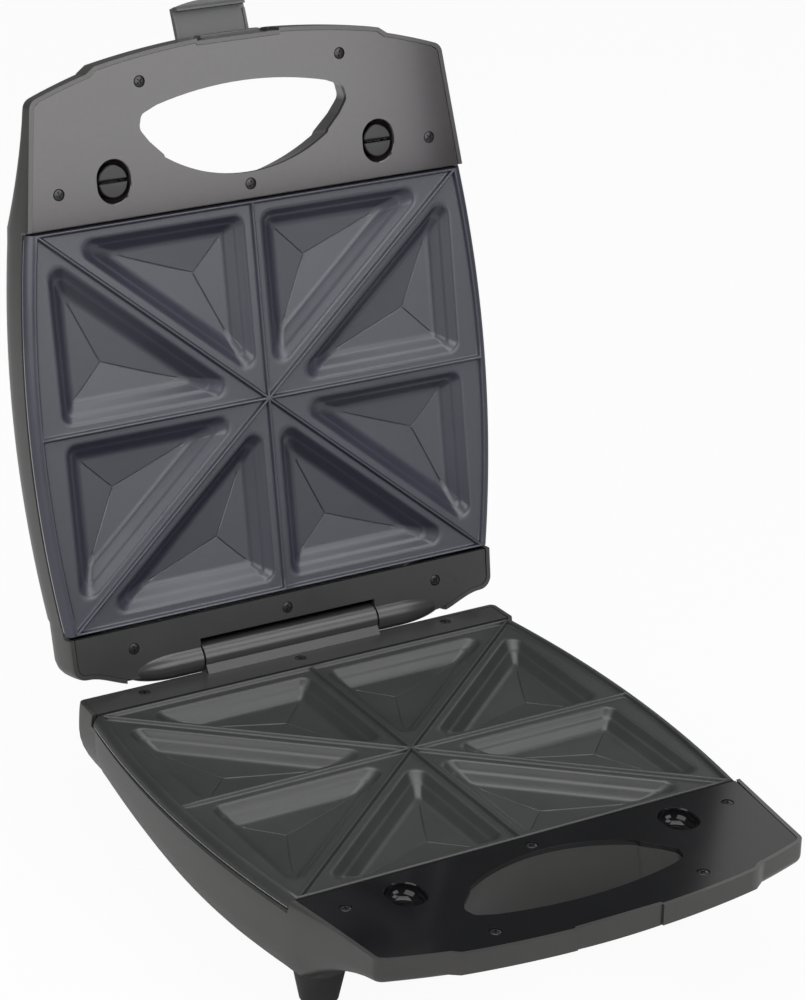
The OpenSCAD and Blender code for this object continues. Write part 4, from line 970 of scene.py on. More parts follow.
@dataclass
class CookingPlate:
    """One cast plate: eight triangular pockets between sealing beads, and a rolled rim."""

    half: Half
    finishes: Palette
    straight: int = 14
    arc: int = 10
    side_land: float = 14.1
    side_lean: float = 0.0
    crease: float = 0.34
    sink: float = 0.8
    # Size and place of the painted highlight bead along each side rim's lower edge.
    edge_r: float = 0.42
    edge_in: float = 1.5
    edge_sunk: float = 0.22
    edge_up: float = 0.5
    centre_r: float = 0.7
    crease_start: float = 0.12
    crease_end: float = 0.1
    groove: tuple[float, ...] = (0.33, 0.67, 1.0, 0.67, 0.33)
    rim_under: tuple[float, ...] = (1.0, 0.7, 0.2)
    rim_ends: tuple[float, ...] = (1.0, -1.5, -2.0)
    end_round: float = 0.6
    bead: tuple[tuple[float, float, float], ...] = (
        (0.0, 0.0, -0.15), (0.3, 0.3, -0.18), (0.52, 0.55, -0.3), (0.68, 0.72, -0.55), (0.82, 0.88, -1.0),
        (0.96, 1.04, -1.5), (1.12, 1.22, -1.9), (1.34, 1.46, -2.13), (1.7, 1.85, -2.2))
    wall: tuple[tuple[float, float, float], ...] = (
        (-3.0, 6.5, -2.2), (-2.2, 6.2, -2.24), (-1.5, 5.9, -2.4), (-0.9, 5.5, -2.75), (-0.45, 5.2, -3.3),
        (0.6, 4.7, -4.5), (1.5, 4.3, -5.45), (2.0, 4.0, -5.85), (2.5, 3.8, -6.12), (3.0, 3.5, -6.38),
        (3.5, 3.2, -6.75), (4.1, 3.0, -7.35), (5.3, 2.7, -8.5), (6.4, 2.4, -9.45), (7.1, 2.2, -9.9),
        (8.0, 2.0, -10.25), (9.2, 1.8, -10.44))
    floor_steps: tuple[float, ...] = (0.05, 0.12, 0.3, 0.5, 0.7, 0.86, 0.96)

    def corners(self, kind: int, v: float, d: float, o: float, curved: bool = False) -> Array:
        """Corners of the triangle in half a quarter of the plate.

        Args:
            kind: 0 for the triangle on the end edge, 1 for the one on the side edge.
            v: Distance from the middle line.
            d: Distance from the diagonal.
            o: Distance from the outer edge.
            curved: Whether the outer side follows the bowed edge.

        Returns:
            Right-angled corner, plate corner and plate middle, 3 by 2.
        """
        w, h = S.half_w, S.half_d
        diag = math.hypot(w, h)
        if kind == 0:
            return np.array([[v, h - o], [(w * (h - o) - d * diag) / h, h - o], [v, (d * diag + h * v) / w]])
        if curved:
            a = S.plate_bow / h ** 2
            b = w / h
            c = d * diag / h - w - S.plate_bow + o
            y = (-b + math.sqrt(b * b - 4 * a * c)) / (2 * a)
            return np.array([[plate_x(v) - o, v], [plate_x(y) - o, y], [(d * diag + w * v) / h, v]])
        x0 = w + S.plate_bow - o
        y = (h * x0 - d * diag) / (w + self.side_lean * h)
        return np.array([[x0 - self.side_lean * v, v], [x0 - self.side_lean * y, y],
                         [(d * diag + w * v) / h, v]])

    def ring(self, corners: Array, r: float, z: Union[float, Array], bowed: float = -1.0) -> Array:
        """Closed loop round a triangle with rounded corners.

        Args:
            corners: The triangle, 3 by 2.
            r: Radius of its corners.
            z: Height of the loop.
            bowed: Distance from the bowed edge that the outer side keeps, or less than 0 for a straight one.

        Returns:
            The loop, points by 3; every loop has the same number of points.
        """
        parts = []
        arcs = [corner_arc(corners[i - 1], corners[i], corners[(i + 1) % 3], max(r, LEAST), self.arc)
                for i in range(3)]
        t = np.linspace(0, 1, self.straight + 1)[1:-1, None]
        for i in range(3):
            parts.append(arcs[i])
            side = arcs[i][-1] * (1 - t) + arcs[(i + 1) % 3][0] * t
            if i == 0 and bowed >= 0:
                side[:, 0] = plate_x(side[:, 1]) - bowed
            parts.append(side)
        flat = np.vstack(parts)
        return np.column_stack([flat, np.full(len(flat), z)])

    def sector(self, kind: int) -> tuple[Array, Array]:
        """Grid of one pocket with the land and half the beads round it.

        Each row is a loop. The first rows step in from the bead lines, the next follow the pocket's
        wall, and the last shrink to the meeting point of the three floor facets.

        Args:
            kind: 0 for an end pocket, 1 for a side pocket.

        Returns:
            Rows by points by 3, and the plate's outer edge in this sector, points by 3.
        """
        rows = []
        for inner, outer, z in self.bead:
            bowed = outer if kind == 1 else -1.0
            rows.append(self.ring(self.corners(kind, inner, inner, outer, curved=True), 0.0, z, bowed))
        land = (S.pocket_land, S.pocket_land, S.end_land if kind == 0 else self.side_land)
        for inset, r, z in self.wall:
            rows.append(self.ring(self.corners(kind, *(side + inset for side in land)), r, z))
        last = self.wall[-1]
        floor = self.corners(kind, land[0] + last[0], land[1] + last[0], land[2] + last[0])
        sides = [np.linalg.norm(floor[1] - floor[2]), np.linalg.norm(floor[2] - floor[0]),
                 np.linalg.norm(floor[0] - floor[1])]
        centre = sum(s * p for s, p in zip(sides, floor)) / sum(sides)
        for t in self.floor_steps:
            start = min(t / self.crease_start, 1.0)
            row = self.ring(floor * (1 - t) + centre * t, last[1] + (self.centre_r - last[1]) * start,
                            last[2] - self.sink * t)
            depth = self.crease * start * min((1 - t) / self.crease_end, 1.0)
            for side in range(3):
                first = side * (self.arc + self.straight) + self.arc // 2 - len(self.groove) // 2
                row[first:first + len(self.groove), 2] -= depth * np.array(self.groove)
            rows.append(row)
        rows.append(np.tile([centre[0], centre[1], last[2] - self.sink], (len(rows[0]), 1)))
        grid = np.stack(rows)
        edge = grid[0, self.arc:self.arc + self.straight + 1]
        return grid, edge

    def rim(self, edge: Array) -> Array:
        """Rolled rim outwards from an outer edge: out = roll sin a, down = drop (1 - cos a).

        Args:
            edge: Outer edge of a sector, points by 3.

        Returns:
            Rows by points by 3, from the edge down and back in under the rim.
        """
        a = np.linspace(0, math.pi / 2, 9)
        out = np.concatenate([np.sin(a), self.rim_under])
        end = np.concatenate([np.minimum(a / 0.5, 1.0), self.rim_ends]) * self.end_round
        drop = np.concatenate([S.seam + (S.rim_drop - S.seam) * (1 - np.cos(a)) ** 0.9,
                               [S.rim_drop, S.rim_drop, S.bead_h + S.plate_t]])
        x, y = edge[:, 0], edge[:, 1]
        return np.stack([x + S.rim_roll * out[:, None] * x / plate_x(y), y + end[:, None] * y / S.half_d,
                         np.repeat(-drop[:, None], len(edge), axis=1)], axis=-1)

    def build(self) -> bpy.types.Object:
        """Builds the plate as one closed casting.

        Returns:
            The casting's piece.
        """
        whole: Optional[Shell] = None
        for kind in (0, 1):
            grid, edge = self.sector(kind)
            back = -(S.bead_h + S.plate_t)
            under = grid.copy()
            under[..., 2] = np.minimum(grid[..., 2] - S.plate_t, back)
            rim = self.rim(edge)
            seat = np.stack([rim[-1], np.column_stack([edge[:, :2], np.full(len(edge), back)])])
            quarter = (Shell.grid(grid, closed=True) + Shell.grid(under[:, ::-1], closed=True)
                       + Shell.grid(rim) + Shell.grid(seat))
            for sx in (1.0, -1.0):
                for sy in (1.0, -1.0):
                    faces = quarter.faces if sx * sy > 0 else [f[::-1] for f in quarter.faces]
                    copy = Shell(quarter.points * np.array([sx, sy, 1.0]), faces)
                    whole = copy if whole is None else whole + copy
        half = self.half.value
        # Each side rim gets a bright steel bead along its lower edge: a painted highlight line.
        for sx, side in ((-1.0, "left"), (1.0, "right")):
            label = f"{half}_plate_highlight_bead_{side}"
            store(self.painted_highlight_bead(sx).mesh(label, PLACE[self.half]), label, half, self.finishes.steel)
        mesh = whole.mesh(half + "_plate_casting", PLACE[self.half], weld=4e-6)
        material = self.finishes.lid_plate if self.half is Half.LID else self.finishes.base_plate
        return store(mesh, half + "_plate_casting", half, material, [half + "_plate"], sharp=38.0)

    def painted_highlight_bead(self, sx: float) -> Shell:
        """Bright steel bead along the lower edge of a side rim, a painted highlight line where the rolled rim
        catches the light.

        Args:
            sx: -1 for the left side, 1 for the right one.

        Returns:
            A thin closed rod that follows the bowed side.
        """
        y = np.linspace(-S.half_d + self.edge_in, S.half_d - self.edge_in, 49)
        a = np.linspace(0, 2 * math.pi, 9)[:-1]
        x = (plate_x(y) + S.rim_roll - self.edge_sunk)[:, None] + self.edge_r * np.cos(a)
        z = -S.rim_drop + self.edge_up + self.edge_r * np.sin(a)
        rings = np.stack([sx * x, np.repeat(y[:, None], len(a), axis=1), np.tile(z, (len(y), 1))], axis=-1)
        return Shell.loft(rings if sx > 0 else rings[:, ::-1])


@dataclass
class Casing:
    """Moulded shell of one half, with its nose, grip tunnel, hinge relief and latch recess."""

    half: Half
    finishes: Palette
    deep: float
    nose_mid: float
    nose_side: float
    swell: float
    back_swell: float
    lip: float
    edge: RearEdge
    round_r: float
    back_r: float
    nose_steps: int = 24
    fillet_steps: int = 6
    flank_steps: int = 8
    side_steps: int = 24
    rear_steps: int = 8
    nose_fillet: float = 6.0
    swell_depth: float = 15.0
    flare_x: float = 0.26
    flare_y: float = 0.20
    side_in: float = 5.0
    inner_corner_r: float = 5.0
    corner_room: float = 3.0
    corner_lead: float = 2.0
    corner_in: float = 1.0
    foot_more: float = 4.0
    foot_taper: float = 0.79
    foot_back: float = 1.5
    foot_bow: float = 4.5
    blend_from: float = -60.0
    blend_run: float = 150.0
    wall_stops: tuple[float, ...] = (0, 0.04, 0.1, 0.18, 0.28, 0.4, 0.55, 0.75, 1.0)
    turn_steps: int = 10
    band_end: float = 1.2
    band_foot_x: float = 3.4
    band_foot_y: float = 22.0
    band_slope: float = 6.4
    tunnel_start: float = 0.6
    tunnel_wall: float = 1.9
    tunnel_gap: float = 0.5
    plate_slit: float = 1.0
    trim_rib: float = 1.2
    hinge_gap: float = 0.8
    latch_gap: float = 0.8
    bay_gap: float = 0.4

    @property
    def slot_x(self) -> float:
        """Half width of the latch's slot."""
        return S.latch_w / 2 + self.latch_gap

    @property
    def reach(self) -> float:
        """How far the edge of the flat underside lies inside the parting outline."""
        return max(self.round_r, self.back_r) + self.foot_more

    def outline(self, t: float) -> Array:
        """Plan outline at the parting plane: nose arc, corner, flank, bowed side, rear corner.

        Args:
            t: How far the sides and rear are set in.

        Returns:
            Closed loop from the front middle, points by 2.
        """
        nose_x = S.nose_corner_x
        nose_y = math.sqrt((S.nose_r + S.rim_w) ** 2 - nose_x ** 2) - S.nose_r + S.nose_y
        x = np.linspace(0, nose_x - self.nose_fillet, self.nose_steps + 1)
        front = np.column_stack([x, corner_y(x, S.rim_w)])
        flank_end = np.array([S.rim_x, -S.plate_end])
        arc = corner_arc(front[-1], np.array([nose_x, -nose_y]), flank_end, self.nose_fillet,
                         self.fillet_steps)
        u = np.linspace(0, 1, self.flank_steps + 1)[1:, None]
        flank = arc[-1] * (1 - u) + flank_end * u
        corner = self.inner_corner_r if t > 0 else self.edge.corner_r
        side_end = min(S.half_d - self.side_in, self.edge.y - self.edge.dip - t - corner - self.corner_room)
        y = np.linspace(-S.half_d + self.side_in + 0.2 * t, side_end, self.side_steps + 1)
        side = np.column_stack([plate_x(y) + S.rim_roll - S.rim_in - t, y])
        a = np.array([S.rim_x - t, side_end + self.corner_lead])
        c = np.array([S.rim_x - self.corner_in - t, self.edge.y - t - self.edge.dip])
        turn = corner_arc(a, c, np.array([0.0, c[1]]), corner, self.rear_steps)
        back = self.edge.wave(turn[-1], self.edge.y - t)
        back = np.vstack([back, [[back[-1, 0] / 2, back[-1, 1]], [0.0, back[-1, 1]]]])
        half = np.vstack([front, arc, flank, side, a[None], turn, back])
        left = half[1:-1][::-1] * np.array([-1.0, 1.0])
        return np.vstack([half, left])

    def skin(self, inset: float) -> Shell:
        """Outer or inner skin as a stack of loops.

        Depth d runs down each loop point. The wall swells out by
        swell * sqrt(1 - (1 - d / swell_depth)^2) and then turns in over a quarter circle.

        Args:
            inset: 0 for the outer skin, the wall's thickness for the inner one.

        Returns:
            The closed shell.
        """
        pts = self.outline(0.0)
        inner = self.outline(self.reach)
        n = len(pts)
        index = np.minimum(np.arange(n), n - np.arange(n))
        nose_n = self.nose_steps + 1 + self.fillet_steps + 1 + self.flank_steps
        step = np.roll(pts, -1, axis=0) - np.roll(pts, 1, axis=0)
        step /= np.linalg.norm(step, axis=1)[:, None]
        normal = np.column_stack([step[:, 1], -step[:, 0]])
        nose_y = -pts[self.nose_steps + 1, 1]
        on_nose = index <= self.nose_steps
        on_body = index >= nose_n
        across = np.clip((nose_y + pts[:, 1]) / (nose_y - S.plate_end), 0, 1)
        along = np.abs(pts[:, 0]) / S.nose_corner_x
        depth = np.where(on_body, self.deep, np.where(
            on_nose, self.nose_mid + (self.nose_side - self.nose_mid) * along ** 2,
            self.nose_side + (self.deep - self.nose_side) * across ** 1.7))
        body = np.where(on_body, 1.0, np.where(
            on_nose, 0.0, np.clip((depth - self.nose_side) / (self.deep - self.nose_side), 0, 1)))
        lip_small = self.nose_fillet - 1
        rearward = np.clip((pts[:, 1] - self.blend_from) / self.blend_run, 0, 1)
        wide = self.round_r + (self.back_r - self.round_r) * rearward ** 2 * (3 - 2 * rearward)
        r = np.where(on_body, wide, np.where(
            on_nose, self.lip + (lip_small - self.lip) * along ** 3,
            lip_small + (self.round_r - lip_small) * body))
        straight = depth - r
        inward = np.where(on_body[:, None], (inner - pts) / self.reach, -normal)
        stops = np.array(self.wall_stops)[:, None]
        wall_d = np.maximum(S.seam, straight * stops)
        turns = np.radians(np.linspace(0, 90, self.turn_steps + 1)[1:])[:, None]
        turn_d = straight + (r - inset) * np.sin(turns)
        d = np.vstack([wall_d, turn_d])
        bend = np.vstack([np.zeros_like(stops), 1 - np.cos(turns)])
        widest = (self.swell + (self.back_swell - self.swell) * rearward) * body
        swell = widest * np.sqrt(np.clip(1 - (1 - np.clip(d / self.swell_depth, 0, 1)) ** 2, 0, 1))
        flat = (pts + normal * (swell - inset)[..., None] + inward * ((r - inset) * bend)[..., None])
        rings = np.concatenate([flat, -d[..., None]], axis=-1)
        if inset > 0:
            rings[0, :, 2] = OVER
        foot = self.foot(pts, inner, normal, index, nose_n, inset)
        return Shell.loft(np.concatenate([rings, foot[None]])[::-1])

    def foot(self, pts: Array, inner: Array, normal: Array, index: Array, nose_n: int, inset: float) -> Array:
        """Edge of the flat underside, where the nose's points gather along its front edge.

        Args:
            pts: Outline at the parting plane, points by 2.
            inner: The same outline, set in by reach.
            normal: Outward direction at each point.
            index: Number of each point, counted from the front middle on both sides.
            nose_n: How many of them belong to the nose on one side.
            inset: Distance inside the outer skin.

        Returns:
            The edge, points by 3.
        """
        far_x = S.rim_x + self.swell - self.reach
        near_x = self.foot_taper * (S.nose_corner_x - self.nose_fillet)
        side = np.where(np.arange(len(pts)) <= len(pts) / 2, 1.0, -1.0)
        t = (index - self.nose_steps) / (nose_n - 1 - self.nose_steps)
        x = np.where(index <= self.nose_steps, self.foot_taper * np.abs(pts[:, 0]),
                     near_x + (far_x - near_x) * t)
        y = -S.plate_end - self.foot_back + self.foot_bow * (x / far_x) ** 6 + inset
        nose = np.column_stack([side * x * (1 - inset / WIDE), y])
        body = inner + normal * self.back_swell
        flat = np.where((index >= nose_n)[:, None], body, nose)
        return np.column_stack([flat, np.full(len(pts), -self.deep + inset)])

    def band(self) -> Shell:
        """Raised middle band of the front edge, sloping back at its ends to the corner arcs.

        Returns:
            The closed solid that joins the skin.
        """
        x = np.linspace(-S.band_x - self.band_end, S.band_x + self.band_end, 41)
        front = np.column_stack([x, band_y(x, S.rim_w)])
        end_x = S.band_x + self.band_slope
        end_y = float(corner_y(end_x, S.rim_w)) + 0.2
        foot_x, foot_y = S.band_x + self.band_foot_x, -S.nose_y + self.band_foot_y
        ends = np.array([[end_x, end_y], [foot_x, foot_y], [-foot_x, foot_y], [-end_x, end_y]])
        return Shell.prism(np.vstack([front, ends]), -S.seam, -S.band_h)

    def tunnel(self, grow: float, top: float) -> Shell:
        """Finger tunnel that widens with depth, sideways and towards the plate.

        Args:
            grow: Distance of its walls outside the fascia's opening.
            top: Height of its upper end.

        Returns:
            The closed solid.
        """
        rings = []
        start = S.fascia_back + self.tunnel_start
        for z in (-self.deep - OVER, -start, top):
            t = max(0.0, (-z - start) / self.deep)
            flat = grip_outline(grow)
            flat = np.column_stack([flat[:, 0] * (1 + self.flare_x * t),
                                    (flat[:, 1] + S.grip_front) * (1 + self.flare_y * t) - S.grip_front])
            rings.append(np.column_stack([flat, np.full(len(flat), z)]))
        return Shell.loft(np.stack(rings))

    def build(self) -> bpy.types.Object:
        """Builds the shell by cutting its rooms out of the skin.

        Returns:
            The shell's piece.
        """
        side = 1.0 if self.half is Half.BASE else -1.0
        near, far = S.half_d + self.plate_slit, S.half_d + self.plate_slit + self.trim_rib
        bay_x, bay_back, bay_low = LATCH_GAP_X + 2, -S.nose_y + 5.5, -20
        room = Carved(self.skin(S.case_wall)).cut(box_shell(-WIDE, WIDE, near, far, -14, 3),
                                                  box_shell(-WIDE, WIDE, -far, -near, -14, 3))
        room.cut(self.tunnel(self.tunnel_gap + self.tunnel_wall, -S.fascia_back),
                 box_shell(-bay_x, bay_x, -S.nose_y - 20, bay_back, bay_low, 3))
        solid = Carved(self.skin(0.0)).join(self.band())
        relief_x = S.knuckle_x + OVER
        solid.cut(room.shell(), Shell.prism(fascia_outline(S.seam), OVER, -S.fascia_back),
                  Shell.prism(cover_outline(self.edge, S.seam), OVER, -S.fascia_back),
                  box_shell(-WIDE, WIDE, -far, far, -S.rim_drop - 2 * S.seam, 5),
                  self.tunnel(self.tunnel_gap, OVER),
                  rod_shell(-relief_x, relief_x, S.hinge_y, side * S.hinge_z, S.barrel_r + self.hinge_gap))
        if self.half is Half.BASE:
            self.finish_base(solid)
        else:
            self.finish_lid(solid)
        half = self.half.value
        mesh = solid.placed(half + "_casing_shell", PLACE[self.half])
        return store(mesh, half + "_casing_shell", half, self.finishes.casing, [half + "_casing"],
                     sharp=30.0)

    def finish_base(self, solid: Carved) -> None:
        """Adds the base's hinge block and foot pads and cuts its latch recess, inlet and vents.

        Args:
            solid: The shell so far, which is changed.
        """
        block_x, block_low, inlet_x, inlet_z, inlet_r = S.knuckle_x + 4, -26.0, -70.0, -16.0, 7.15
        vent_pitch, vent_w, vent_front, vent_rear = 14, 2, 44, 72
        wall_y = self.edge.y + 4.0
        block = Carved(box_shell(-block_x, block_x, self.edge.y - S.rim_w + 0.3, wall_y, block_low,
                                 -S.fascia_drop))
        block.cut(rod_shell(-block_x - OVER, block_x + OVER, S.hinge_y, S.hinge_z,
                            S.barrel_r + self.hinge_gap))
        under = -self.deep - OVER
        pads = [post_shell(sx * x, y, S.foot_top_r + 0.7, under, -self.deep + 8)
                for sx in (-1, 1) for x, y in FEET.values()]
        solid.join(block.shell(), *pads)
        hook_y = -S.latch_y - S.latch_reach
        solid.cut(
            box_shell(-S.barrel_x - 0.3, S.barrel_x + 0.3, self.edge.y - S.rim_w - 4, S.hinge_y + 3,
                      -S.fascia_back - 0.02, 2),
            box_shell(-LATCH_GAP_X, LATCH_GAP_X, -S.nose_y - 20, -S.nose_y - self.bay_gap,
                      -S.band_h - 1.5, OVER),
            box_shell(-self.slot_x, self.slot_x, -S.nose_y - 20, hook_y + 1.7, -self.deep, OVER),
            *[box_shell(i * vent_pitch - vent_w, i * vent_pitch + vent_w, vent_front, vent_rear, under,
                        -self.deep + 4) for i in range(-2, 3)])
        inlet = Shell.spun(np.array([[inlet_r, -7.0], [inlet_r, 7.0]]))
        solid.cut(Shell(inlet.points[:, [0, 2, 1]], inlet.faces).moved(inlet_x, wall_y, inlet_z))

    def finish_lid(self, solid: Carved) -> None:
        """Cuts the room for the latch and its ears, and the holes of the two lenses.

        Args:
            solid: The shell so far, which is changed.
        """
        py, pz, slot = -S.latch_y, -S.latch_z, self.slot_x
        skirt = S.latch_reach - 1.2
        far = S.latch_y + 37
        behind, ear_y, ear_z, ear_t, ear_r = 7.0, 8.0, 8.7, 2.0, 4.8
        lens_x, lens_y, lens_r = 10.0, -84.0, 3.65
        front = Carved(box_shell(-slot, slot, -far, py + behind, pz - 40, pz))
        front.cut(rod_shell(-slot - OVER, slot + OVER, py, pz, skirt))
        ears = []
        for s in (-1, 1):
            x = s * (S.latch_w / 2 - 1.5)
            ears.append(rod_shell(x - ear_t, x + ear_t, py, pz, ear_r))
            ears.append(rod_shell(x - ear_t, x + ear_t, py, pz,
                                  math.hypot(S.latch_reach, ear_y) + self.latch_gap))
        clear_ears = []
        for ear in ears[1::2]:
            clipped = Carved(ear).cut(box_shell(-HIGH, HIGH, -far, 0, pz + ear_z, pz + HIGH),
                                      box_shell(-HIGH, HIGH, py + behind, py + HIGH, -WIDE, HIGH))
            clear_ears.append(clipped.shell())
        bay = box_shell(-LATCH_GAP_X, LATCH_GAP_X, -far, -S.nose_y - self.bay_gap, pz + 4, OVER)
        slit = box_shell(-slot, slot, -far, py - skirt, pz - 0.5, OVER)
        solid.cut(front.shell(), bay, slit, *ears[0::2], *clear_ears)
        solid.cut(*[post_shell(s * lens_x, lens_y, lens_r, -self.deep - 2, -self.deep + 6)
                    for s in (-1, 1)])


def screw_seat(x: float, y: float) -> Shell:
    """Round seat of a trim screw, sunk into a fascia or a rear strip."""
    radius, depth = 3.05, 1.4
    return post_shell(x, y, radius, OVER, -S.fascia_drop - depth)


@dataclass
class Fascia:
    """Glossy front panel of one half, with its finger opening and two oblong cups."""

    half: Half
    finishes: Palette
    cup_wall: float = 1.6
    dish_r: float = 5.4
    mouth: float = 0.5
    peg_gap: float = 0.7
    peg_slit: float = 0.45
    peg_sunk: float = 0.8
    peg_foot: float = 0.3

    def cup(self, sx: float) -> Shell:
        """Outside of a cup below the panel.

        Args:
            sx: -1 for the left cup, 1 for the right one.

        Returns:
            The closed solid.
        """
        wide = 2 * self.cup_wall
        outline = obround(S.socket_w + wide, S.socket_l + wide) + np.array([sx * S.socket_x, SOCKET_Y])
        return Shell.prism(outline, -S.fascia_drop - 0.5, -S.fascia_drop - S.socket_depth - self.cup_wall)

    def dish(self, sx: float) -> Shell:
        """Room inside a cup: a chamfered mouth, a straight wall and a rounded floor.

        Args:
            sx: -1 for the left cup, 1 for the right one.

        Returns:
            The closed cutter.
        """
        depth, r = S.socket_depth, self.dish_r
        a = np.linspace(0, math.pi / 2, 11)
        shrink = np.concatenate([[-self.mouth - 0.1, -self.mouth, 0.0], r * (1 - np.cos(a))])
        z = np.concatenate([[OVER, 0.02, -self.mouth - 0.05], -(depth - r) - r * np.sin(a)])
        rings = []
        for s, h in zip(shrink, z):
            flat = obround(S.socket_w - 2 * s, S.socket_l - 2 * s) + np.array([sx * S.socket_x, SOCKET_Y])
            rings.append(np.column_stack([flat, np.full(len(flat), h - S.fascia_drop)]))
        return Shell.loft(np.stack(rings)[::-1])

    def build(self) -> bpy.types.Object:
        """Builds the panel.

        Returns:
            The panel's piece.
        """
        solid = Carved(Shell.prism(fascia_outline(), -S.fascia_drop, -S.fascia_back))
        solid.join(self.cup(-1), self.cup(1))
        solid.cut(Shell.prism(grip_outline(), OVER, -S.fascia_back - OVER), self.dish(-1), self.dish(1))
        for x, y in FASCIA_SCREWS:
            solid.cut(screw_seat(x, y))
        half = self.half.value
        mesh = solid.placed(half + "_fascia_panel", PLACE[self.half])
        material = self.finishes.lid_fascia if self.half is Half.LID else self.finishes.base_fascia
        panel = store(mesh, half + "_fascia_panel", half, material, [half + "_fascia"],
                      sharp=30.0, bevel=0.45, segments=3)
        if self.half is Half.LID:
            # The lid's pegs take the base's near-black copy, without the lid copy's painted sheen.
            self.pegs(self.finishes.base_fascia)
        return panel

    def pegs(self, material: bpy.types.Material) -> None:
        """Two pairs of domed half-round pegs that stand in the lid's cups, a slit apart.

        Args:
            material: Their finish.
        """
        t = np.linspace(0, math.pi, 25)
        r = S.socket_w / 2 - self.peg_gap
        flat = np.column_stack([np.cos(t) * r, np.sin(t) * r + self.peg_slit])
        for sx, name in ((-1.0, "left"), (1.0, "right")):
            for sy, end in ((-1.0, "front"), (1.0, "rear")):
                place = np.array([sx * S.socket_x, SOCKET_Y])
                outline = (flat * np.array([1.0, sy]))[::int(sy)] + place
                peg = Shell.prism(outline, -S.fascia_drop - self.peg_sunk,
                                  -S.fascia_drop - S.socket_depth + self.peg_foot)
                label = f"lid_peg_{name}_{end}"
                mesh = peg.mesh(label, on_lid_half)
                store(mesh, label, "lid", material, bevel=2.0, segments=4)


@dataclass
class RearStrip:
    """Rear strip of one half with its part of the hinge."""

    half: Half
    finishes: Palette
    bore_gap: float = 0.05
    hinge_gap: float = 0.8
    ramp_front: float = 1.2
    ramp_top: float = 7.4
    side_gap: float = 1.1
    nose_start: float = 0.35
    arm_w: float = 26.0
    web_front: float = 6.5
    pin_stop: float = 12.0

    def base_solid(self) -> Carved:
        """Strip with the fixed middle barrel on its ramp.

        Returns:
            The solid, as drawn.
        """
        y0 = EDGES[Half.BASE].y - S.rim_w - self.ramp_front
        ramp = np.array([[y0, -S.fascia_back], [y0, -S.fascia_drop],
                         [S.hinge_y - self.ramp_top, S.hinge_z - 1], [S.hinge_y, S.hinge_z],
                         [S.hinge_y - 0.5, S.hinge_z - S.barrel_r + 0.3], [S.hinge_y - 4, -S.fascia_back]])
        solid = Carved(Shell.prism(cover_outline(EDGES[Half.BASE]), -S.fascia_drop, -S.fascia_back))
        solid.join(Shell.slab(ramp, -S.barrel_x, S.barrel_x),
                   rod_shell(-S.barrel_x, S.barrel_x, S.hinge_y, S.hinge_z, S.barrel_r, 72))
        solid.cut(rod_shell(-S.barrel_x - OVER, S.barrel_x + OVER, S.hinge_y, S.hinge_z,
                            S.hinge_pin_r + self.bore_gap, 32))
        return solid

    def lid_solid(self) -> Carved:
        """Strip with the two moving knuckles, each shaped like a bullet.

        The bullet's radius is barrel_r up to nose_start of its length and then closes as an ellipse.

        Returns:
            The solid, as drawn.
        """
        start = S.barrel_x + self.side_gap
        notch_x = start - 0.3
        notch_y = S.base_rear_y - S.rim_w - 1.6
        solid = Carved(Shell.prism(cover_outline(EDGES[Half.LID]), -S.fascia_drop, -S.fascia_back))
        solid.cut(rod_shell(-notch_x, notch_x, S.hinge_y, -S.hinge_z, S.barrel_r + self.hinge_gap),
                  box_shell(-notch_x, notch_x, notch_y, S.hinge_y + 12, -S.fascia_back - OVER, 0))
        nose = np.sin(np.linspace(0, math.pi / 2, 24))
        r = np.concatenate([[S.barrel_r], S.barrel_r * np.sqrt(1 - (nose * 0.995) ** 2)])
        along = np.concatenate([[0.0], self.nose_start + (1 - self.nose_start) * nose])
        x = start + (S.knuckle_x - start) * along
        bullet = Shell.spun(np.column_stack([r, x]), 64, axis="x").moved(0, S.hinge_y, -S.hinge_z)
        web_y, web_top = S.lid_rear_y - S.rim_w - self.web_front, -S.fascia_drop - 1.2
        web = np.array([[web_y, web_top], [S.hinge_y - 5.4, web_top], [S.hinge_y, -S.hinge_z],
                        [S.hinge_y - 4.6, -S.hinge_z - 3.6], [web_y, -S.fascia_back]])
        arm = Shell.slab(web, start, start + self.arm_w)
        solid.join(bullet, bullet.mirrored(), arm, arm.mirrored())
        bore_x = S.knuckle_x - self.pin_stop
        solid.cut(rod_shell(-bore_x, bore_x, S.hinge_y, -S.hinge_z, S.hinge_pin_r + self.bore_gap, 32))
        return solid

    def build(self) -> bpy.types.Object:
        """Builds the strip.

        Returns:
            The strip's piece.
        """
        solid = self.base_solid() if self.half is Half.BASE else self.lid_solid()
        for x, y in REAR_SCREWS[self.half]:
            solid.cut(screw_seat(x, y))
        half = self.half.value
        mesh = solid.placed(half + "_rear_strip", PLACE[self.half])
        return store(mesh, half + "_rear_strip", half, self.finishes.trim, [half + "_rear_cover"],
                     sharp=30.0, bevel=0.35, segments=2)


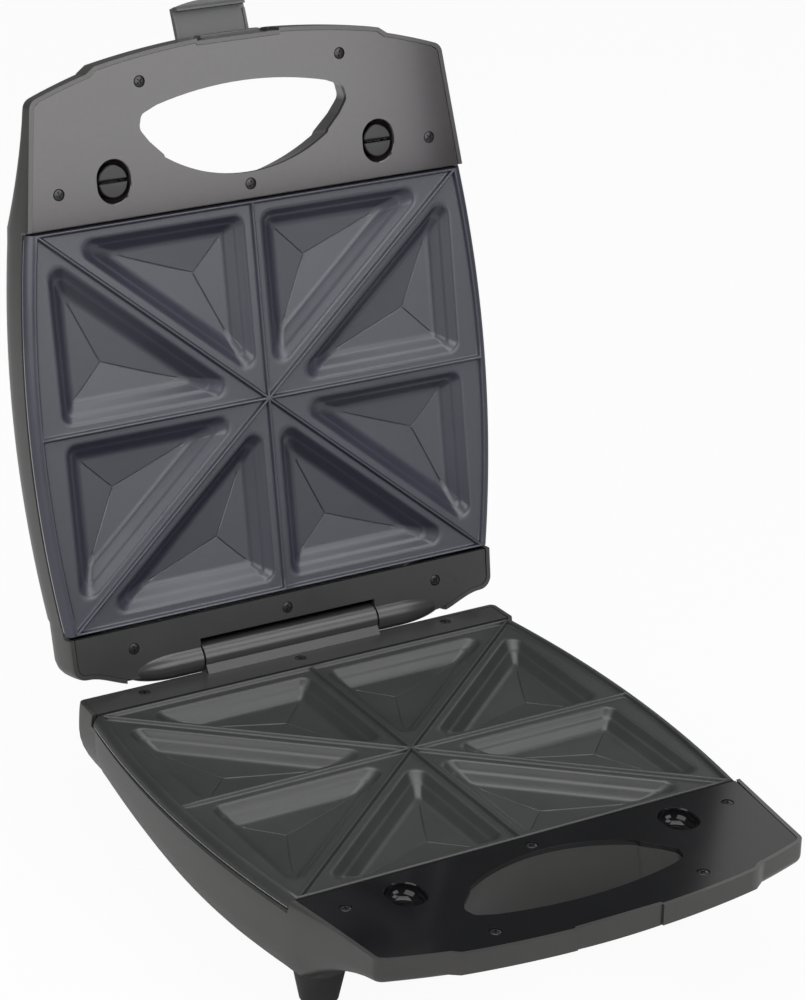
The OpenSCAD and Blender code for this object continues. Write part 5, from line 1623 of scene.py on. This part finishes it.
@dataclass
class TrimScrews:
    """Small dark cross-head screws of a fascia or a rear strip."""

    half: Half
    finishes: Palette
    head_r: float = 2.85
    head_h: float = 1.25
    dome_h: float = 0.25
    tip_r: float = 0.02
    edge_h: float = 0.5
    shank_r: float = 1.38
    shank_l: float = 8.0
    slot_l: float = 1.75
    slot_w: float = 0.36
    slot_depth: float = 0.85
    sunk: float = 0.06
    first_turn: float = 17.0
    next_turn: float = 31.0

    def head(self) -> Shell:
        """Domed head with a rounded rim: height falls with the square of the radius.

        Returns:
            The closed head and its shank, upright at the origin.
        """
        r = np.linspace(self.tip_r, self.head_r - 0.35, 8)
        dome = np.column_stack([r, -self.dome_h * (r / self.head_r) ** 2])
        edge = np.array([[self.head_r - 0.1, -0.32], [self.head_r, -self.edge_h],
                         [self.head_r, -self.head_h]])
        shank = np.array([[self.shank_r, -self.head_h], [self.shank_r, -self.shank_l],
                          [self.tip_r, -self.shank_l - 0.6]])
        return Shell.spun(np.vstack([dome, edge, shank]), 32)

    def build(self, name: str, node: str, places: Sequence[tuple[float, float]]) -> bpy.types.Object:
        """Builds one set of screws, each with its cross turned a little differently.

        Args:
            name: Name of the piece.
            node: Solid that it stands for.
            places: Where the screws stand.

        Returns:
            The piece.
        """
        whole: Optional[Shell] = None
        for i, (x, y) in enumerate(places):
            turn = self.first_turn + self.next_turn * i
            solid = Carved(self.head())
            slot = box_shell(-self.slot_l, self.slot_l, -self.slot_w, self.slot_w, -self.slot_depth, OVER)
            solid.cut(slot.turned(turn), slot.turned(turn + 90))
            one = solid.shell().moved(x, y, -S.fascia_drop - self.sunk)
            whole = one if whole is None else whole + one
        mesh = whole.mesh(name, PLACE[self.half])
        return store(mesh, name, self.half.value, self.finishes.dark_steel, [node], sharp=35.0)


@dataclass
class Feet:
    """Four tapered feet."""

    finishes: Palette
    sunk: float = 1.02
    round_r: float = 1.4
    bore_r: float = 1.95
    well_r: float = 4.6
    well_h: float = 9.0
    steps: int = 64

    def build(self) -> None:
        """Builds each foot: a tapered cup with rounded edges, hollow for its screw."""
        top = S.stand_h - S.base_depth - self.sunk
        a = np.radians(np.linspace(0, 90, 6))
        bottom = np.column_stack([S.foot_r - self.round_r * (1 - np.sin(a)), self.round_r * (1 - np.cos(a))])
        t = np.linspace(0.1, 0.96, 8)
        side = np.column_stack([S.foot_r + (S.foot_top_r - S.foot_r) * t, self.round_r + (top - 3.2) * t])
        upper = np.array([[S.foot_top_r - 0.1, top - 1.2], [S.foot_top_r, top - 0.7], [S.foot_top_r, top]])
        inside = np.array([[self.bore_r, top], [self.bore_r, self.well_h], [self.well_r, self.well_h],
                           [self.well_r, 0.35], [self.well_r + 0.2, 0.0]])
        profile = np.vstack([bottom, side, upper, inside])
        t = np.linspace(0, 2 * math.pi, self.steps, endpoint=False)
        rings = np.stack([profile[:, :1] * np.cos(t), profile[:, :1] * np.sin(t),
                          np.repeat(profile[:, 1:], self.steps, axis=1)], axis=-1)
        closed = np.concatenate([rings, rings[:1]])
        for sx, side_name in ((-1, "left"), (1, "right")):
            for end, (x, y) in FEET.items():
                shell = Shell.grid(closed, closed=True).moved(sx * x, y, -S.stand_h)
                name = f"{end}_{side_name}_foot"
                mesh = shell.mesh(name + "_turned", on_base, weld=2e-6)
                store(mesh, name + "_turned", "base", self.finishes.foot, [name], sharp=40.0)


@dataclass
class Latch:
    """Swinging latch: a thin curved flap on two ears, with a hook lip and a finger tip."""

    finishes: Palette
    root: float = 3.0
    hook_in: float = 4.2
    ear_t: float = 3.0
    ear_r: float = 4.2
    ear_low: float = 8.0
    rib_t: float = 1.4
    pin_r: float = 1.55

    def build(self) -> bpy.types.Object:
        """Builds the latch hanging from its pin and swings it up.

        Returns:
            The latch's piece.
        """
        half, reach, length = S.latch_w / 2, S.latch_reach, S.latch_len
        x = np.linspace(-half, half, 33)
        lower = S.latch_low + S.latch_tip * (x / half) ** 2
        edge = np.column_stack([x, lower])
        flat = np.vstack([edge, [[half, self.root - 1.0], [half - 1.0, self.root]],
                          [[-half + 1.0, self.root], [-half, self.root - 1.0]]])
        flap = Shell.prism(flat, reach, reach + S.latch_t)
        flap = Shell(flap.points[:, [0, 2, 1]] * np.array([1.0, -1.0, 1.0]), flap.faces)
        hook = np.array([[-reach - 0.5, -length], [-reach + self.hook_in, -length],
                         [-reach + self.hook_in, -length - 0.8], [-reach + 1.2, -length - S.hook_h],
                         [-reach - 0.5, -length - S.hook_h]])
        ear = np.array([[-reach - 0.5, self.root], [-reach - 0.5, -self.ear_low], [0, -self.ear_r],
                        [0, self.ear_r]])
        solid = Carved(flap).join(Shell.slab(hook, -half + 1, half - 1))
        for s in (-1, 1):
            x0, x1 = sorted((s * (half - self.ear_t), s * half))
            solid.join(Shell.slab(ear, x0, x1), rod_shell(x0, x1, 0, 0, self.ear_r, 48),
                       box_shell(*sorted((s * (half - self.rib_t), s * half)), -reach - 0.5, -reach + 0.7,
                                 -length + 2, self.root - 1))
        solid.cut(rod_shell(-half - OVER, half + OVER, 0, 0, self.pin_r, 24))
        mesh = solid.placed("latch_flap", on_latch)
        return store(mesh, "latch_flap", "latch", self.finishes.latch, ["latch"],
                     sharp=30.0, bevel=0.5, segments=3)


class InnerParts:
    """Solids that keep their own shape and get a finish."""

    def __init__(self, finishes: Palette) -> None:
        """Lists the finish of each solid.

        Args:
            finishes: All finishes of the toaster.
        """
        f = finishes
        self.table: dict[str, bpy.types.Material] = {
            "base_element": f.element, "lid_element": f.element,
            "base_element_clamps": f.steel, "lid_element_clamps": f.steel,
            "base_heat_shield": f.shield, "lid_heat_shield": f.shield,
            "base_plate_screws": f.steel, "lid_plate_screws": f.steel,
            "thermostat": f.brown, "thermostat_clip": f.steel, "thermal_fuse": f.lead,
            "terminal_block": f.ivory, "cord_gland": f.rubber, "base_leads": f.lead, "lid_leads": f.lead,
            "foot_screws": f.steel, "lamp_holder": f.ivory, "power_lens": f.red_lens,
            "ready_lens": f.green_lens, "hinge_pin_left": f.steel, "hinge_pin_right": f.steel,
            "link_sleeve": f.lead, "latch_pin": f.steel,
        }

    def dress(self) -> None:
        """Gives every listed solid its finish."""
        for name, material in self.table.items():
            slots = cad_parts[name].material_slots
            for entry in slots:
                entry.material = material
            LOG.info("%s: finish %s", name, material.name)


# Surroundings

@dataclass
class Studio:
    """Pale floor, plain soft lights, and the camera at the photograph's angle."""

    place: tuple[float, float, float] = (-784.650, -1290.197, 790.955)
    right: tuple[float, float, float] = (0.86177517, -0.50677295, 0.02290719)
    up: tuple[float, float, float] = (0.18445878, 0.35510039, 0.91644895)
    forward: tuple[float, float, float] = (0.47256589, 0.78554751, -0.39949542)
    focal_px: float = 3432.979
    image_height: float = 1000.0
    sensor: float = 36.0
    aim: tuple[float, float, float] = (0.0, 0.02, 0.16)
    lit: float = 0.12
    floor_size: float = 6.0
    floor_tone: float = 0.46
    floor_glow: float = 0.95

    def camera(self) -> None:
        """Places the camera: its axes are the columns of its matrix."""
        data = bpy.data.cameras.new("view")
        data.sensor_fit = "VERTICAL"
        data.sensor_height = self.sensor
        data.sensor_width = self.sensor
        data.lens = self.focal_px * self.sensor / self.image_height
        data.clip_end = 50.0
        cam = bpy.data.objects.new("view", data)
        bpy.context.scene.collection.objects.link(cam)
        axes = Matrix((self.right, self.up, tuple(-c for c in self.forward))).transposed().to_4x4()
        cam.matrix_world = Matrix.Translation(Vector(on_base(np.array(self.place)))) @ axes
        bpy.context.scene.camera = cam

    def lamp(self, name: str, place: tuple[float, float, float], size: tuple[float, float],
             watts: float) -> None:
        """Adds one soft rectangular light that faces the toaster.

        Args:
            name: Name of the light.
            place: Where it stands, in metres.
            size: Width and height, in metres.
            watts: Its power.
        """
        data = bpy.data.lights.new(name, "AREA")
        data.shape = "RECTANGLE"
        data.size, data.size_y = size
        data.energy = watts
        item = bpy.data.objects.new(name, data)
        bpy.context.scene.collection.objects.link(item)
        item.location = place
        item.visible_camera = False
        item.rotation_euler = (Vector(self.aim) - Vector(place)).to_track_quat("-Z", "Y").to_euler()

    def world(self) -> None:
        """Even pale surroundings that the camera sees as white."""
        world = bpy.data.worlds.new("surroundings")
        bpy.context.scene.world = world
        world.use_nodes = True
        tree = world.node_tree
        tree.nodes.clear()
        path = tree.nodes.new("ShaderNodeLightPath")
        lit = tree.nodes.new("ShaderNodeBackground")
        seen = tree.nodes.new("ShaderNodeBackground")
        mix = tree.nodes.new("ShaderNodeMixShader")
        end = tree.nodes.new("ShaderNodeOutputWorld")
        lit.inputs["Color"].default_value = (0.95, 0.97, 1.0, 1.0)
        lit.inputs["Strength"].default_value = self.lit
        seen.inputs["Color"].default_value = (1.0, 1.0, 1.0, 1.0)
        seen.inputs["Strength"].default_value = 1.0
        tree.links.new(path.outputs["Is Camera Ray"], mix.inputs["Fac"])
        tree.links.new(lit.outputs[0], mix.inputs[1])
        tree.links.new(seen.outputs[0], mix.inputs[2])
        tree.links.new(mix.outputs[0], end.inputs["Surface"])

    def floor(self) -> None:
        """Wide pale floor that fades to white for the camera."""
        size = self.floor_size
        data = bpy.data.meshes.new("floor")
        data.from_pydata([(-size, -size, 0), (size, -size, 0), (size, size, 0), (-size, size, 0)], [],
                         [(0, 1, 2, 3)])
        floor = bpy.data.objects.new("floor", data)
        bpy.context.scene.collection.objects.link(floor)
        material = bpy.data.materials.new("pale_floor")
        material.use_nodes = True
        tree = material.node_tree
        tree.nodes.clear()
        path = tree.nodes.new("ShaderNodeLightPath")
        plain = tree.nodes.new("ShaderNodeBsdfDiffuse")
        glow = tree.nodes.new("ShaderNodeEmission")
        mix = tree.nodes.new("ShaderNodeMixShader")
        end = tree.nodes.new("ShaderNodeOutputMaterial")
        plain.inputs["Color"].default_value = (*[self.floor_tone] * 3, 1.0)
        glow.inputs["Color"].default_value = (1.0, 1.0, 1.0, 1.0)
        scale = tree.nodes.new("ShaderNodeMath")
        scale.operation = "MULTIPLY"
        scale.inputs[1].default_value = self.floor_glow
        tree.links.new(path.outputs["Is Camera Ray"], scale.inputs[0])
        tree.links.new(scale.outputs[0], mix.inputs["Fac"])
        tree.links.new(plain.outputs[0], mix.inputs[1])
        tree.links.new(glow.outputs[0], mix.inputs[2])
        tree.links.new(mix.outputs[0], end.inputs["Surface"])
        data.materials.append(material)

    def build(self) -> None:
        """Builds the surroundings."""
        bpy.context.scene.view_settings.view_transform = "Standard"
        self.camera()
        self.world()
        self.floor()
        self.lamp("left_soft", (-1.45, -0.5, 1.05), (1.9, 1.4), 30.0)
        self.lamp("top_soft", (0.1, 0.2, 2.0), (1.6, 1.6), 31.0)
        self.lamp("front_soft", (0.635, -1.9, 0.895), (1.21, 1.16), 19.5)
        self.lamp("high_soft", (0.9, -0.8, 1.6), (0.8, 0.8), 9.0)
        self.lamp("rear_soft", (1.53, 1.17, 1.05), (0.7, 0.7), 1.7)


def corners(box: tuple[Vector, Vector]) -> list[list[float]]:
    """A box's two corners as plain lists."""
    return [[float(c) for c in corner] for corner in box]


def main() -> None:
    """Builds the toaster and its surroundings."""
    logging.basicConfig(level=logging.INFO)
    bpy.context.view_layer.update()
    Studio().build()
    finishes = Palette()
    Casing(Half.BASE, finishes, deep=S.base_depth, nose_mid=13.0, nose_side=13.5, swell=3.2,
           back_swell=1.0, lip=5.0, edge=EDGES[Half.BASE], round_r=20.0, back_r=30.0).build()
    Casing(Half.LID, finishes, deep=S.lid_depth, nose_mid=26.0, nose_side=12.0, swell=1.2,
           back_swell=1.2, lip=14.0, edge=EDGES[Half.LID], round_r=24.0, back_r=26.0).build()
    for half in Half:
        CookingPlate(half, finishes).build()
        Fascia(half, finishes).build()
        RearStrip(half, finishes).build()
        screws = TrimScrews(half, finishes)
        screws.build(half.value + "_fascia_screw_set", half.value + "_fascia_screws", FASCIA_SCREWS)
        screws.build(half.value + "_rear_screw_set", half.value + "_rear_screws", REAR_SCREWS[half])
    Feet(finishes).build()
    Latch(finishes).build()
    InnerParts(finishes).dress()


if __name__ == "__main__":
    main()
